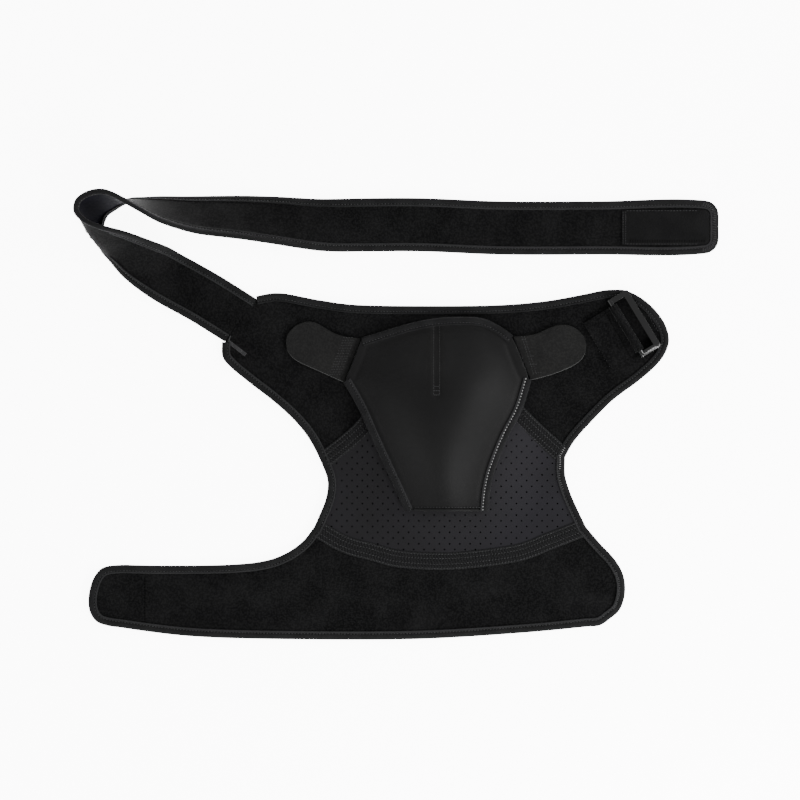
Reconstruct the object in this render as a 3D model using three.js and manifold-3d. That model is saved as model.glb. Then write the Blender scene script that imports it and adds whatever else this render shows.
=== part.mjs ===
// Shoulder brace, laid flat with its chest strap folded back over the top.
// Millimetres, +Z up, +X to the right and +Y towards the collar.
// The floor is at Z = 0 and the origin is below the middle of the whole part.
import * as THREE from 'three';
import { mergeVertices } from 'three/addons/utils/BufferGeometryUtils.js';
import Module from 'manifold-3d';

const wasm = await Module();
wasm.setup();

// Body sizes
const WING_SPAN = 420;
const SHOULDER_HEIGHT = 238;
const ARM_TAIL_LENGTH = 211;
const ARM_LOBE_LENGTH = 36.5;
const ARM_BAND_DROP = 105;
const SHOULDER_DOME_RISE = 16;
const CLOTH = 3;

// Edge binding and seam tape
const BINDING_WIDTH = 7.6;
const BINDING_WALL = 1;
const TAPE_WIDTH = 16;
const TAPE_THICKNESS = 0.8;
const CLEARANCE = 0.3;

// Pad and its tabs
const PAD_RISE = 14;
const PAD_FLAT_EDGE = 5;
const PAD_SLOPE_LENGTH = 42;
const PAD_MOUTH = 0.4;
const PAD_MOUTH_DEPTH = 80;
const HOOK_TAB_THICKNESS = 2.3;
const PAD_BINDING_SETBACK = 2;

// Perforation of the centre panel
const HOLE_DIAMETER = 1.8;
const HOLE_COLUMN_PITCH = 14.4;
const HOLE_ROW_PITCH = 10.75;
const HOLE_EDGE_MARGIN = 6;
const HOLE_SIDES = 5;

// Chest strap
const STRAP_WIDTH = 50;
const STRAP_OUT = 140;
const STRAP_UP = 98;
const STRAP_BACK = 588;
const STRAP_END_RADIUS = 14;
const HOOK_PATCH_LENGTH = 82;
const HOOK_PATCH_THICKNESS = 0.9;
const HOOK_PATCH_MARGIN = 1;

// Patch under the end of the arm band's tail
const ARM_PATCH_LENGTH = 46;
const ARM_PATCH_WIDTH = 36;
const ARM_PATCH_MARGIN = 9;
const ARM_PATCH_THICKNESS = 0.7;

// Buckle and its tab
const BUCKLE_ACROSS = 22;
const BUCKLE_SIDE_BAR = 5;
const BUCKLE_FRONT_BAR = 6;
const BUCKLE_THICKNESS = 4;
const BUCKLE_PIN_RADIUS = 2.5;
const BUCKLE_STRAP_ROOM = 2;
const BUCKLE_HEADING = THREE.MathUtils.degToRad(31.3);
const LOOP_CLEARANCE = 0.4;
const LOOP_PLY = 1.4;
const LOOP_TAIL = 32;
const LOOP_WIDTH = 45;

// Values that follow from the sizes
const HALF_SPAN = WING_SPAN / 2;
const EDGE_INSET = BINDING_WALL + CLEARANCE;
const BASE = EDGE_INSET;
const BODY_TOP = BASE + CLOTH;
const CHANNEL_HALF = CLOTH / 2 + CLEARANCE;
const BINDING_HALF = CHANNEL_HALF + BINDING_WALL;
const TRIM = CLEARANCE / 2;

// Outlines of the body, as shares of half the span across and of the height up
const TOP_EDGE = [
  [-0.835, 1.041], [-0.732, 1.053], [-0.554, 1.025], [-0.376, 1.006], [-0.02, 1.002],
  [0.247, 1.006], [0.447, 1.021], [0.603, 1.045], [0.719, 1.065], [0.799, 1.065],
];
const WING_TIP = [[0.799, 1.065], [0.875, 1.035], [0.942, 0.982], [0.986, 0.923], [1, 0.864]];
const UNDER_WING = [
  [1, 0.864], [0.968, 0.794], [0.875, 0.715], [0.755, 0.636], [0.661, 0.554],
  [0.581, 0.475], [0.537, 0.409],
];
const RIGHT_SIDE = [[0.537, 0.409], [0.537, 0.338], [0.559, 0.271], [0.594, 0.2], [0.63, 0.134]];
const LEFT_UPPER_SIDE = [
  [-0.991, 0.856], [-0.982, 0.79], [-0.884, 0.711], [-0.768, 0.632], [-0.67, 0.554],
  [-0.599, 0.475], [-0.55, 0.389],
];
const LEFT_SIDE = [[-0.55, 0.389], [-0.521, 0.318], [-0.528, 0.247], [-0.563, 0.169], [-0.581, 0.134]];
const SHOULDER_SEAM = [[-0.372, 0.515], [-0.207, 0.688], [-0.007, 0.79], [0.194, 0.703], [0.352, 0.556]];
const ARM_SEAM = [
  [-0.445, 0.065], [-0.323, 0.035], [-0.207, 0.008], [-0.02, -0.002], [0.149, 0.008],
  [0.336, 0.033], [0.461, 0.075],
];

// Arm band, as shares of the tail or lobe length outwards and of the band's drop
const TAIL_TOP = [
  [0, 0], [0.062, 0.151], [0.151, 0.258], [0.248, 0.312], [0.416, 0.338], [0.682, 0.343],
  [0.868, 0.338], [0.939, 0.365],
];
const TAIL_END = [[0.939, 0.365], [0.979, 0.463], [1, 0.65], [0.979, 0.819], [0.913, 0.881]];
const LOBE_END = [
  [0, 0], [0.359, 0.147], [0.718, 0.28], [0.948, 0.418], [1, 0.579], [0.846, 0.748], [0.359, 0.877],
];
const BAND_FOOT = [[0.16, 0.971], [0.35, 1], [0.62, 1], [0.84, 0.944]];

// Pad and hook tabs, in the body's shares
const PAD_LEFT = [[-0.176, 0.196], [-0.274, 0.385], [-0.327, 0.487], [-0.385, 0.601], [-0.452, 0.703]];
const PAD_TOP = [
  [-0.374, 0.876], [-0.256, 0.908], [-0.158, 0.933], [-0.02, 0.955], [0.158, 0.955],
  [0.252, 0.919], [0.308, 0.884],
];
const PAD_RIGHT = [
  [0.194, 0.196], [0.207, 0.295], [0.234, 0.381], [0.283, 0.487], [0.345, 0.593], [0.387, 0.712],
];
const TAB_LEFT = [
  [-0.374, 0.872], [-0.481, 0.89], [-0.577, 0.94], [-0.63, 0.941], [-0.683, 0.911],
  [-0.71, 0.856], [-0.679, 0.797], [-0.57, 0.75], [-0.452, 0.703],
];
const TAB_RIGHT = [
  [0.308, 0.881], [0.403, 0.89], [0.47, 0.919], [0.541, 0.931], [0.602, 0.904],
  [0.634, 0.845], [0.603, 0.782], [0.479, 0.732], [0.387, 0.712],
];

// Strap from its root to the bend: share out, share up, heading and tilt of its width
const STRAP_LOWER_RUN = [
  [0, 0, 53, 0], [0.23, 0.205, 58, 0], [0.481, 0.405, 62, 0], [0.608, 0.51, 62, 22],
  [0.724, 0.606, 65, 38], [0.831, 0.715, 70, 57], [0.911, 0.806, 97, 72], [0.966, 0.883, 146, 70],
  [1, 0.98, 160, 55], [0.982, 1.07, 154, 50], [0.918, 1.13, 144, 55], [0.848, 1.157, 140, 65],
];
// Strap from the bend to its free end: share back, share up, heading and tilt of its width
const STRAP_UPPER_RUN = [
  [0.05, 1.147, 146, 78], [0.066, 1.123, 236, 84], [0.086, 1.088, 270, 75], [0.111, 1.05, 270, 63],
  [0.143, 1.016, 270, 54], [0.175, 0.992, 270, 46], [0.239, 0.973, 270, 37], [0.302, 0.94, 270, 26],
  [0.366, 0.902, 270, 14], [0.43, 0.902, 270, 0], [0.524, 0.904, 270, 0], [0.65, 0.874, 270, 0],
  [0.81, 0.874, 270, 0], [1, 0.884, 270, 0],
];

// Colours as the photograph shows them
const VELOUR = { color: 0x17171a, roughness: 0.95, metalness: 0 };
const BINDING = { color: 0x232327, roughness: 0.7, metalness: 0 };
const NEOPRENE = { color: 0x2c2b31, roughness: 0.75, metalness: 0 };
const TAB_CLOTH = { color: 0x3c3c3f, roughness: 0.9, metalness: 0 };
const HOOK_CLOTH = { color: 0x1c1c1f, roughness: 0.6, metalness: 0 };
const PLASTIC = { color: 0x1e1f21, roughness: 0.35, metalness: 0 };

// Plan points

function bodyPoint([across, up]) {
  return new THREE.Vector2(across * HALF_SPAN, up * SHOULDER_HEIGHT);
}

const seamLeft = bodyPoint(LEFT_SIDE.at(-1));
const seamRight = bodyPoint(RIGHT_SIDE.at(-1));

function tailPoint([out, down]) {
  return new THREE.Vector2(seamLeft.x - out * ARM_TAIL_LENGTH, seamLeft.y - down * ARM_BAND_DROP);
}

function lobePoint([out, down]) {
  return new THREE.Vector2(seamRight.x + out * ARM_LOBE_LENGTH, seamRight.y - down * ARM_BAND_DROP);
}

function footPoint([along, down]) {
  const start = tailPoint(TAIL_END.at(-1));
  const end = lobePoint(LOBE_END.at(-1));
  return new THREE.Vector2(
    THREE.MathUtils.lerp(start.x, end.x, along),
    seamLeft.y - down * ARM_BAND_DROP,
  );
}

function smooth(points, steps) {
  return new THREE.SplineCurve(points).getSpacedPoints(steps);
}

// Moves an open line to its right by a distance, keeping its number of points.
function offset(line, distance) {
  const side = (from, to) => new THREE.Vector2(to.y - from.y, from.x - to.x).normalize();
  return line.map((point, i) => {
    const before = i > 0 ? side(line[i - 1], point) : side(point, line[1]);
    const after = i < line.length - 1 ? side(point, line[i + 1]) : before;
    const mitre = before.clone().add(after).divideScalar(1 + before.dot(after));
    return point.clone().addScaledVector(mitre, distance);
  });
}

function joinLines(...lines) {
  return lines.flatMap((line, i) => (i === 0 ? line : line.slice(1)));
}

// Steps of the outline's stretches, chosen so that opposite edges of a panel have as many
const SEAM_STEPS = 20;
const SIDE_STEPS = 12;
const WING_TIP_STEPS = 5;
const UNDER_WING_STEPS = 11;
const LEFT_UPPER_STEPS = 11;
const TAIL_TOP_STEPS = 13;
const TAIL_END_STEPS = 6;
const LOBE_TOP_STEPS = 4;

// Stretches of the body's outline, clockwise, so that their right side is inside
const stretches = {
  top: [TOP_EDGE.map(bodyPoint), LEFT_UPPER_STEPS + SEAM_STEPS + UNDER_WING_STEPS],
  wingTip: [WING_TIP.map(bodyPoint), WING_TIP_STEPS],
  underWing: [UNDER_WING.map(bodyPoint), UNDER_WING_STEPS],
  rightSide: [RIGHT_SIDE.map(bodyPoint), SIDE_STEPS],
  lobe: [LOBE_END.map(lobePoint), LOBE_TOP_STEPS + TAIL_END_STEPS],
  foot: [
    [lobePoint(LOBE_END.at(-1)), ...BAND_FOOT.map(footPoint).reverse(), tailPoint(TAIL_END.at(-1))],
    TAIL_TOP_STEPS + SEAM_STEPS + LOBE_TOP_STEPS,
  ],
  tailEnd: [TAIL_END.map(tailPoint).reverse(), TAIL_END_STEPS],
  tailTop: [TAIL_TOP.map(tailPoint).reverse(), TAIL_TOP_STEPS],
  leftSide: [LEFT_SIDE.map(bodyPoint).reverse(), SIDE_STEPS],
  leftUpperSide: [LEFT_UPPER_SIDE.map(bodyPoint).reverse(), LEFT_UPPER_STEPS],
};
const bodyRim = joinLines(...Object.values(stretches).map(([points, steps]) => smooth(points, steps)));

// The part of something listed along the rim that belongs to one stretch or to several in a row
function alongRim(list, first, last = first) {
  const names = Object.keys(stretches);
  const stepsBefore = (end) => names.slice(0, end).reduce((sum, name) => sum + stretches[name][1], 0);
  return list.slice(stepsBefore(names.indexOf(first)), stepsBefore(names.indexOf(last) + 1) + 1);
}

// Cloth edge, set in from the rim by the binding that folds over it
const clothRim = offset(bodyRim, EDGE_INSET);
const clothAlong = (first, last) => alongRim(clothRim, first, last);

const shoulderSeam = smooth(
  [clothAlong('leftSide').at(-1), ...SHOULDER_SEAM.map(bodyPoint), clothAlong('rightSide')[0]],
  SEAM_STEPS,
);
const armSeam = smooth(
  [clothAlong('leftSide')[0], ...ARM_SEAM.map(bodyPoint), clothAlong('rightSide').at(-1)],
  SEAM_STEPS,
);

// Height of the body's cloth above its flat lie
const DOME_HALF_WIDTH = 0.51;
const DOME_CENTRE = 0.5;

function domeHeight(x, y) {
  const across = x / (DOME_HALF_WIDTH * HALF_SPAN);
  const up = (y - DOME_CENTRE * SHOULDER_HEIGHT) / (DOME_CENTRE * SHOULDER_HEIGHT);
  const distance = Math.min(1, across * across + up * up);
  return SHOULDER_DOME_RISE * (1 - distance) ** 2;
}

function bodyMiddle(x, y) {
  return BASE + CLOTH / 2 + domeHeight(x, y);
}

function bodyTop(x, y) {
  return BODY_TOP + domeHeight(x, y);
}

// Solids

function solidGeometry(points, triangles) {
  const position = new Float32Array(points.flatMap((point) => [point.x, point.y, point.z]));
  const volume = triangles.reduce(
    (sum, [a, b, c]) => sum + points[a].dot(new THREE.Vector3().crossVectors(points[b], points[c])),
    0,
  );
  const order = volume > 0 ? ([a, b, c]) => [a, b, c] : ([a, b, c]) => [a, c, b];
  const geometry = new THREE.BufferGeometry();
  geometry.setAttribute('position', new THREE.BufferAttribute(position, 3));
  geometry.setIndex(triangles.flatMap(order));
  return geometry;
}

// A grid of points between four lines that share their corners (Coons patch).
function patch(bottom, top, left, right) {
  const rows = left.length - 1;
  const columns = bottom.length - 1;
  return left.map((leftPoint, j) => bottom.map((bottomPoint, i) => {
    const u = i / columns;
    const v = j / rows;
    const blend = (axis) => (1 - v) * bottomPoint[axis] + v * top[i][axis]
      + (1 - u) * leftPoint[axis] + u * right[j][axis]
      - (1 - u) * (1 - v) * bottom[0][axis] - u * (1 - v) * bottom[columns][axis]
      - (1 - u) * v * top[0][axis] - u * v * top[columns][axis];
    return new THREE.Vector2(blend('x'), blend('y'));
  }));
}

function lineBetween(start, end, steps) {
  return Array.from({ length: steps + 1 }, (_, i) => start.clone().lerp(end, i / steps));
}

// A cloth of even thickness over a grid of plan points.
// middle gives the height of its middle from the plan place and the place in the grid.
function sheet(grid, middle, thickness) {
  const rows = grid.length;
  const columns = grid[0].length;
  const points = [1, -1].flatMap((side) => grid.flatMap((row, j) => row.map((point, i) => {
    const height = middle(point.x, point.y, i / (columns - 1), j / (rows - 1));
    return new THREE.Vector3(point.x, point.y, height + side * thickness / 2);
  })));
  const layer = rows * columns;
  const at = (j, i, side = 0) => side * layer + j * columns + i;
  const triangles = [];
  const addQuad = (a, b, c, d) => triangles.push([a, b, c], [a, c, d]);
  for (let j = 0; j < rows - 1; j += 1) {
    for (let i = 0; i < columns - 1; i += 1) {
      addQuad(at(j, i), at(j, i + 1), at(j + 1, i + 1), at(j + 1, i));
      addQuad(at(j, i, 1), at(j + 1, i, 1), at(j + 1, i + 1, 1), at(j, i + 1, 1));
    }
  }
  const rim = [
    ...Array.from({ length: columns - 1 }, (_, i) => [0, i]),
    ...Array.from({ length: rows - 1 }, (_, j) => [j, columns - 1]),
    ...Array.from({ length: columns - 1 }, (_, i) => [rows - 1, columns - 1 - i]),
    ...Array.from({ length: rows - 1 }, (_, j) => [rows - 1 - j, 0]),
  ];
  rim.forEach(([j, i], k) => {
    const [nextJ, nextI] = rim[(k + 1) % rim.length];
    addQuad(at(j, i), at(j, i, 1), at(nextJ, nextI, 1), at(nextJ, nextI));
  });
  return solidGeometry(points, triangles);
}

// A section carried along a line of frames. Each section point is an inset and a height.
function sweep(frames, section) {
  const count = section.length;
  const points = frames.flatMap(({ place, inward, normal }) => section.map(([inset, height]) => (
    place.clone().addScaledVector(inward, inset).addScaledVector(normal, height)
  )));
  const triangles = [];
  for (let k = 0; k < frames.length - 1; k += 1) {
    for (let i = 0; i < count; i += 1) {
      const next = (i + 1) % count;
      const a = k * count + i;
      const b = k * count + next;
      triangles.push([a, b, b + count], [a, b + count, a + count]);
    }
  }
  const contour = section.map(([inset, height]) => new THREE.Vector2(inset, height));
  const last = (frames.length - 1) * count;
  THREE.ShapeUtils.triangulateShape(contour, []).forEach(([a, b, c]) => {
    triangles.push([a, c, b], [last + a, last + b, last + c]);
  });
  return solidGeometry(points, triangles);
}

const BINDING_SECTION = [
  [0, -BINDING_HALF], [BINDING_WIDTH, -BINDING_HALF], [BINDING_WIDTH, -CHANNEL_HALF],
  [BINDING_WALL, -CHANNEL_HALF], [BINDING_WALL, CHANNEL_HALF], [BINDING_WIDTH, CHANNEL_HALF],
  [BINDING_WIDTH, BINDING_HALF], [0, BINDING_HALF],
];

// Frames along a plan line, with the inside of the piece on its right.
// The inward direction leans with the surface, and insets are measured in plan.
function edgeFrames(line, height) {
  const inside = offset(line, BINDING_WIDTH);
  return line.map((point, i) => {
    const foot = new THREE.Vector3(point.x, point.y, height(point.x, point.y));
    const inner = new THREE.Vector3(inside[i].x, inside[i].y, height(inside[i].x, inside[i].y));
    return {
      place: foot,
      inward: inner.sub(foot).divideScalar(BINDING_WIDTH),
      normal: new THREE.Vector3(0, 0, 1),
    };
  });
}

// Draws the two end frames in towards their neighbours.
function trimmed(frames, atStart, atEnd) {
  const drawIn = (end, next, amount) => {
    const gap = end.place.distanceTo(next.place);
    return { ...end, place: end.place.clone().lerp(next.place, amount / gap) };
  };
  return [
    drawIn(frames[0], frames[1], atStart),
    ...frames.slice(1, -1),
    drawIn(frames.at(-1), frames.at(-2), atEnd),
  ];
}

function toSolid(geometry) {
  const bare = geometry.clone();
  bare.deleteAttribute('normal');
  bare.deleteAttribute('uv');
  const merged = mergeVertices(bare, 1e-4);
  return new wasm.Manifold(new wasm.Mesh({
    numProp: 3,
    vertProperties: new Float32Array(merged.attributes.position.array),
    triVerts: new Uint32Array(merged.index.array),
  }));
}

function toGeometry(solid) {
  const { vertProperties, triVerts } = solid.getMesh();
  const geometry = new THREE.BufferGeometry();
  geometry.setAttribute('position', new THREE.BufferAttribute(vertProperties, 3));
  geometry.setIndex(new THREE.BufferAttribute(triVerts, 1));
  return geometry;
}

const brace = new THREE.Group();

function addPiece(name, geometry, finish, parent = brace) {
  const mesh = new THREE.Mesh(geometry, new THREE.MeshStandardMaterial(finish));
  mesh.name = name;
  parent.add(mesh);
  return mesh;
}

// Upper panel: a yoke with a wing to each side, over an arched seam
function makeUpperPanel() {
  const bottom = joinLines(
    clothAlong('leftUpperSide').reverse(),
    offset(shoulderSeam, -TRIM),
    clothAlong('underWing').reverse(),
  );
  const top = clothAlong('top');
  const left = lineBetween(bottom[0], top[0], WING_TIP_STEPS);
  const right = clothAlong('wingTip').reverse();
  return sheet(patch(bottom, top, left, right), bodyMiddle, CLOTH);
}

// Centre panel: perforated, between the arched seam and the arm seam
function makeCentrePanel() {
  const top = offset(shoulderSeam, TRIM);
  const bottom = offset(armSeam, -TRIM);
  const left = withEnds(clothAlong('leftSide'), bottom[0], top[0]);
  const right = withEnds(clothAlong('rightSide').reverse(), bottom.at(-1), top.at(-1));
  const panel = toSolid(sheet(patch(bottom, top, left, right), bodyMiddle, CLOTH));
  const border = joinLines(bottom, right, [...top].reverse(), [...left].reverse());
  const holes = holePlaces(border).map(({ x, y }) => {
    const punch = new THREE.CylinderGeometry(HOLE_DIAMETER / 2, HOLE_DIAMETER / 2, 3 * CLOTH, HOLE_SIDES);
    punch.rotateX(Math.PI / 2);
    punch.translate(x, y, bodyMiddle(x, y));
    return toSolid(punch);
  });
  return toGeometry(panel.subtract(wasm.Manifold.union(holes)));
}

function withEnds(line, start, end) {
  return [start, ...line.slice(1, -1), end];
}

function isInside(border, x, y) {
  return border.reduce((inside, a, i) => {
    const b = border[(i + 1) % border.length];
    const crosses = (a.y > y) !== (b.y > y) && x < ((b.x - a.x) * (y - a.y)) / (b.y - a.y) + a.x;
    return crosses ? !inside : inside;
  }, false);
}

// Distance to a line of plan points, which is closed unless said otherwise
function distanceTo(line, x, y, closed = true) {
  const point = new THREE.Vector3(x, y, 0);
  const nearest = new THREE.Vector3();
  const starts = closed ? line : line.slice(0, -1);
  return Math.min(...starts.map((a, i) => {
    const b = line[(i + 1) % line.length];
    const side = new THREE.Line3(new THREE.Vector3(a.x, a.y, 0), new THREE.Vector3(b.x, b.y, 0));
    side.closestPointToPoint(point, true, nearest);
    return nearest.distanceTo(point);
  }));
}

// Staggered places of the holes that the pad leaves in sight
function holePlaces(border) {
  const margin = HOLE_EDGE_MARGIN + HOLE_DIAMETER / 2;
  const columns = Math.ceil(HALF_SPAN / HOLE_COLUMN_PITCH);
  const rows = Math.ceil(SHOULDER_HEIGHT / HOLE_ROW_PITCH);
  const places = [];
  for (let i = -columns; i <= columns; i += 1) {
    for (let j = 0; j <= rows; j += 1) {
      const x = i * HOLE_COLUMN_PITCH;
      const y = (j + (i % 2 === 0 ? 0 : 0.5)) * HOLE_ROW_PITCH;
      const onPanel = isInside(border, x, y) && distanceTo(border, x, y) > margin;
      const underPad = isInside(padBorder, x, y) || distanceTo(padBorder, x, y) < HOLE_DIAMETER;
      if (onPanel && !underPad) {
        places.push({ x, y });
      }
    }
  }
  return places;
}

// Arm panel: the band below the arm seam, flat, with its tail and its lobe
function makeArmPanel() {
  const seam = offset(armSeam, TRIM);
  const border = joinLines(clothAlong('lobe', 'tailTop'), seam).slice(0, -1);
  const panel = new THREE.ExtrudeGeometry(new THREE.Shape(border), { depth: CLOTH, bevelEnabled: false });
  panel.translate(0, 0, BASE);
  return panel;
}

// Binding: folded over a stretch of the rim, with a gap to the binding that follows
const rimFrames = edgeFrames(bodyRim, bodyMiddle);

function makeRimBinding(first, last) {
  return sweep(trimmed(alongRim(rimFrames, first, last), TRIM, TRIM), BINDING_SECTION);
}

// Seam tape: flat, on the cloth, cut off where the side bindings begin
function makeSeamTape(seam) {
  const grid = patchRows(offset(seam, TAPE_WIDTH / 2), offset(seam, -TAPE_WIDTH / 2), 2);
  const lift = CLEARANCE + TAPE_THICKNESS / 2;
  const tape = toSolid(sheet(grid, (x, y) => bodyTop(x, y) + lift, TAPE_THICKNESS));
  const reach = BINDING_WIDTH + CLEARANCE;
  const tall = 4 * CLOTH;
  const block = [[-reach, -tall], [reach, -tall], [reach, tall], [-reach, tall]];
  const sides = [['tailTop', 'leftUpperSide'], ['underWing', 'lobe']];
  return toGeometry(sides.reduce((rest, [first, last]) => (
    rest.subtract(toSolid(sweep(alongRim(rimFrames, first, last), block)))
  ), tape));
}

function patchRows(lower, upper, rows) {
  return Array.from({ length: rows + 1 }, (_, j) => (
    lower.map((point, i) => point.clone().lerp(upper[i], j / rows))
  ));
}

// Pad: a domed pocket flap, shut at the sides and the top and open at the bottom
const PAD_SIDE_STEPS = 12;
const PAD_JOINT_STEPS = 3;
const PAD_TOP_STEPS = 14;
const padOutline = {
  left: smooth(PAD_LEFT.map(bodyPoint), PAD_SIDE_STEPS),
  leftJoint: lineBetween(bodyPoint(PAD_LEFT.at(-1)), bodyPoint(PAD_TOP[0]), PAD_JOINT_STEPS),
  top: smooth(PAD_TOP.map(bodyPoint), PAD_TOP_STEPS),
  rightJoint: lineBetween(bodyPoint(PAD_TOP.at(-1)), bodyPoint(PAD_RIGHT.at(-1)), PAD_JOINT_STEPS),
  right: smooth(PAD_RIGHT.map(bodyPoint), PAD_SIDE_STEPS).reverse(),
};
const padBorder = joinLines(
  padOutline.left, padOutline.leftJoint, padOutline.top, padOutline.rightJoint, padOutline.right,
);
const PAD_SEAT = CLEARANCE + TAPE_THICKNESS + CLEARANCE;
const PAD_EDGE_LIFT = PAD_SEAT + BINDING_HALF;

function padEdgeMiddle(x, y) {
  return bodyTop(x, y) + PAD_EDGE_LIFT;
}

// The pad swells from inside its bindings, and its mouth stands open a little.
function padCrown(x, y) {
  const inside = distanceTo(padBorder, x, y, false) - BINDING_WIDTH - PAD_FLAT_EDGE;
  const swell = THREE.MathUtils.smoothstep(inside, 0, PAD_SLOPE_LENGTH);
  const fromMouth = Math.min(1, (y - padBorder[0].y) / PAD_MOUTH_DEPTH);
  const opening = THREE.MathUtils.lerp(PAD_MOUTH, 1, Math.sin(fromMouth * Math.PI / 2));
  return PAD_RISE * swell * opening;
}

function makePad() {
  const edge = offset(padBorder, EDGE_INSET);
  const left = edge.slice(0, PAD_SIDE_STEPS + PAD_JOINT_STEPS + 1);
  const right = edge.slice(-(PAD_SIDE_STEPS + PAD_JOINT_STEPS + 1)).reverse();
  const top = edge.slice(left.length - 1, edge.length - right.length + 1);
  const bottom = lineBetween(left[0], right[0], PAD_TOP_STEPS);
  const grid = patch(bottom, top, left, right);
  return sheet(grid, (x, y) => padEdgeMiddle(x, y) + padCrown(x, y), CLOTH);
}

function makePadBinding(line, atStart, atEnd) {
  return sweep(trimmed(edgeFrames(line, padEdgeMiddle), atStart, atEnd), BINDING_SECTION);
}

// Hook tab: a soft rounded tongue that lies on the upper panel beside the pad
function makeHookTab(table, joint) {
  const rim = smooth(table.map(bodyPoint), 16);
  const seat = offset(joint, EDGE_INSET - CLEARANCE);
  const half = Math.floor(rim.length / 2);
  const upper = rim.slice(0, half + 1);
  const lower = rim.slice(half).reverse();
  [upper[0], lower[0]] = table === TAB_LEFT ? [seat.at(-1), seat[0]] : [seat[0], seat.at(-1)];
  upper[half] = upper[half - 1].clone().lerp(upper[half], 0.7);
  const grid = patchRows(lower, upper, 3);
  const lift = CLEARANCE + HOOK_TAB_THICKNESS / 2;
  return sheet(grid, (x, y) => bodyTop(x, y) + lift, HOOK_TAB_THICKNESS);
}

// Chest strap: a ribbon that leaves the left wing, stands on edge round the bend and lies flat again
const strapRoot = bodyRim[0].clone().lerp(bodyRim.at(-1), 0.5);
const STRAP_HALF = STRAP_WIDTH / 2;
const STRAP_SEAT = BINDING_HALF;

function strapSection(x, y, heading, tilt) {
  const turn = THREE.MathUtils.degToRad(heading);
  const lean = THREE.MathUtils.degToRad(tilt);
  const width = new THREE.Vector3(Math.cos(turn), Math.sin(turn), 0)
    .multiplyScalar(Math.cos(lean))
    .setZ(Math.sin(lean));
  const height = STRAP_HALF * Math.sin(lean) + STRAP_SEAT * Math.cos(lean);
  return { place: new THREE.Vector3(x, y, height), width };
}

const strapSections = [
  ...STRAP_LOWER_RUN.map(([out, up, heading, tilt]) => (
    strapSection(strapRoot.x - out * STRAP_OUT, strapRoot.y + up * STRAP_UP, heading, tilt)
  )),
  ...STRAP_UPPER_RUN.map(([back, up, heading, tilt]) => (
    strapSection(strapRoot.x - STRAP_OUT + back * STRAP_BACK, strapRoot.y + up * STRAP_UP, heading, tilt)
  )),
];

function strapEdge(side) {
  return new THREE.CatmullRomCurve3(strapSections.map(({ place, width }) => (
    place.clone().addScaledVector(width, side * STRAP_HALF)
  )), false, 'centripetal');
}

const strapRightEdge = strapEdge(1);
const strapLeftEdge = strapEdge(-1);

// Frame of the ribbon at a place from 0 at its root to 1 at its free end
function ribbonFrame(t) {
  const widthAt = (s) => strapRightEdge.getPoint(s).sub(strapLeftEdge.getPoint(s)).normalize();
  const middle = (s) => strapLeftEdge.getPoint(s).addScaledVector(widthAt(s), STRAP_HALF);
  const small = 1e-3;
  const place = middle(t);
  const run = middle(Math.min(t + small, 1)).sub(middle(Math.max(t - small, 0))).normalize();
  const width = widthAt(t);
  const normal = new THREE.Vector3().crossVectors(width, run).normalize();
  return { place, width, normal, run };
}

// One frame at each section, and one more between two where the ribbon twists
const strapPlaces = strapSections.flatMap(({ width }, i) => (
  width.z === 0 && (strapSections[i + 1]?.width.z ?? 0) === 0 ? [i] : [i, i + 0.5]
));
const strapFrames = strapPlaces.map((place) => ribbonFrame(place / (strapSections.length - 1)));
const strapEnd = strapFrames.at(-1);

// The straight run before the round end gives way to the corner sections.
function strapBodyFrames(setback) {
  const limit = strapEnd.place.x - STRAP_END_RADIUS - setback;
  const upper = strapFrames.length / 2;
  const kept = strapFrames.filter((frame, i) => i < upper || frame.place.x < limit - 1);
  const root = kept[0];
  return [{ ...root, place: root.place.clone().addScaledVector(root.run, setback) }, ...kept.slice(1)];
}

// Half width and place of the round corners of a strap end that is set in by a distance
function endCorner(angle, setIn) {
  const radius = STRAP_END_RADIUS - setIn;
  return {
    back: setIn + radius * (1 - Math.sin(angle)),
    half: STRAP_HALF - setIn - radius * (1 - Math.cos(angle)),
  };
}

const CORNER_STEPS = 4;
const cornerAngles = Array.from({ length: CORNER_STEPS + 1 }, (_, i) => i * Math.PI / (2 * CORNER_STEPS));

function makeChestStrap() {
  const setIn = EDGE_INSET;
  const straight = strapBodyFrames(0).map((frame) => ({ ...frame, half: STRAP_HALF - setIn }));
  const corners = cornerAngles.map((angle) => {
    const { back, half } = endCorner(angle, setIn);
    return { ...strapEnd, place: strapEnd.place.clone().addScaledVector(strapEnd.run, -back), half };
  });
  return ribbon([...straight, ...corners], CLOTH, 0);
}

// A flat ribbon through frames that each have a half width, lifted off the middle by a height.
// Two columns run along it where the binding's lips end, so that both twist alike.
function ribbon(frames, thickness, lift) {
  const lip = BINDING_WIDTH - EDGE_INSET;
  const points = frames.flatMap(({ place, width, normal, half }) => {
    const columns = [-half, lip - half, half - lip, half];
    const layer = (level, order) => order.map((across) => (
      place.clone().addScaledVector(width, across).addScaledVector(normal, lift + level * thickness)
    ));
    return [...layer(-0.5, columns), ...layer(0.5, [...columns].reverse())];
  });
  const count = 8;
  const triangles = [];
  const addQuad = (a, b, c, d) => triangles.push([a, b, c], [a, c, d]);
  for (let k = 0; k < frames.length - 1; k += 1) {
    for (let i = 0; i < count; i += 1) {
      const a = k * count + i;
      const b = k * count + ((i + 1) % count);
      addQuad(a, b, b + count, a + count);
    }
  }
  const last = (frames.length - 1) * count;
  for (let i = 0; i < 3; i += 1) {
    addQuad(i, count - 1 - i, count - 2 - i, i + 1);
    addQuad(last + i, last + i + 1, last + count - 2 - i, last + count - 1 - i);
  }
  return solidGeometry(points, triangles);
}

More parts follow.
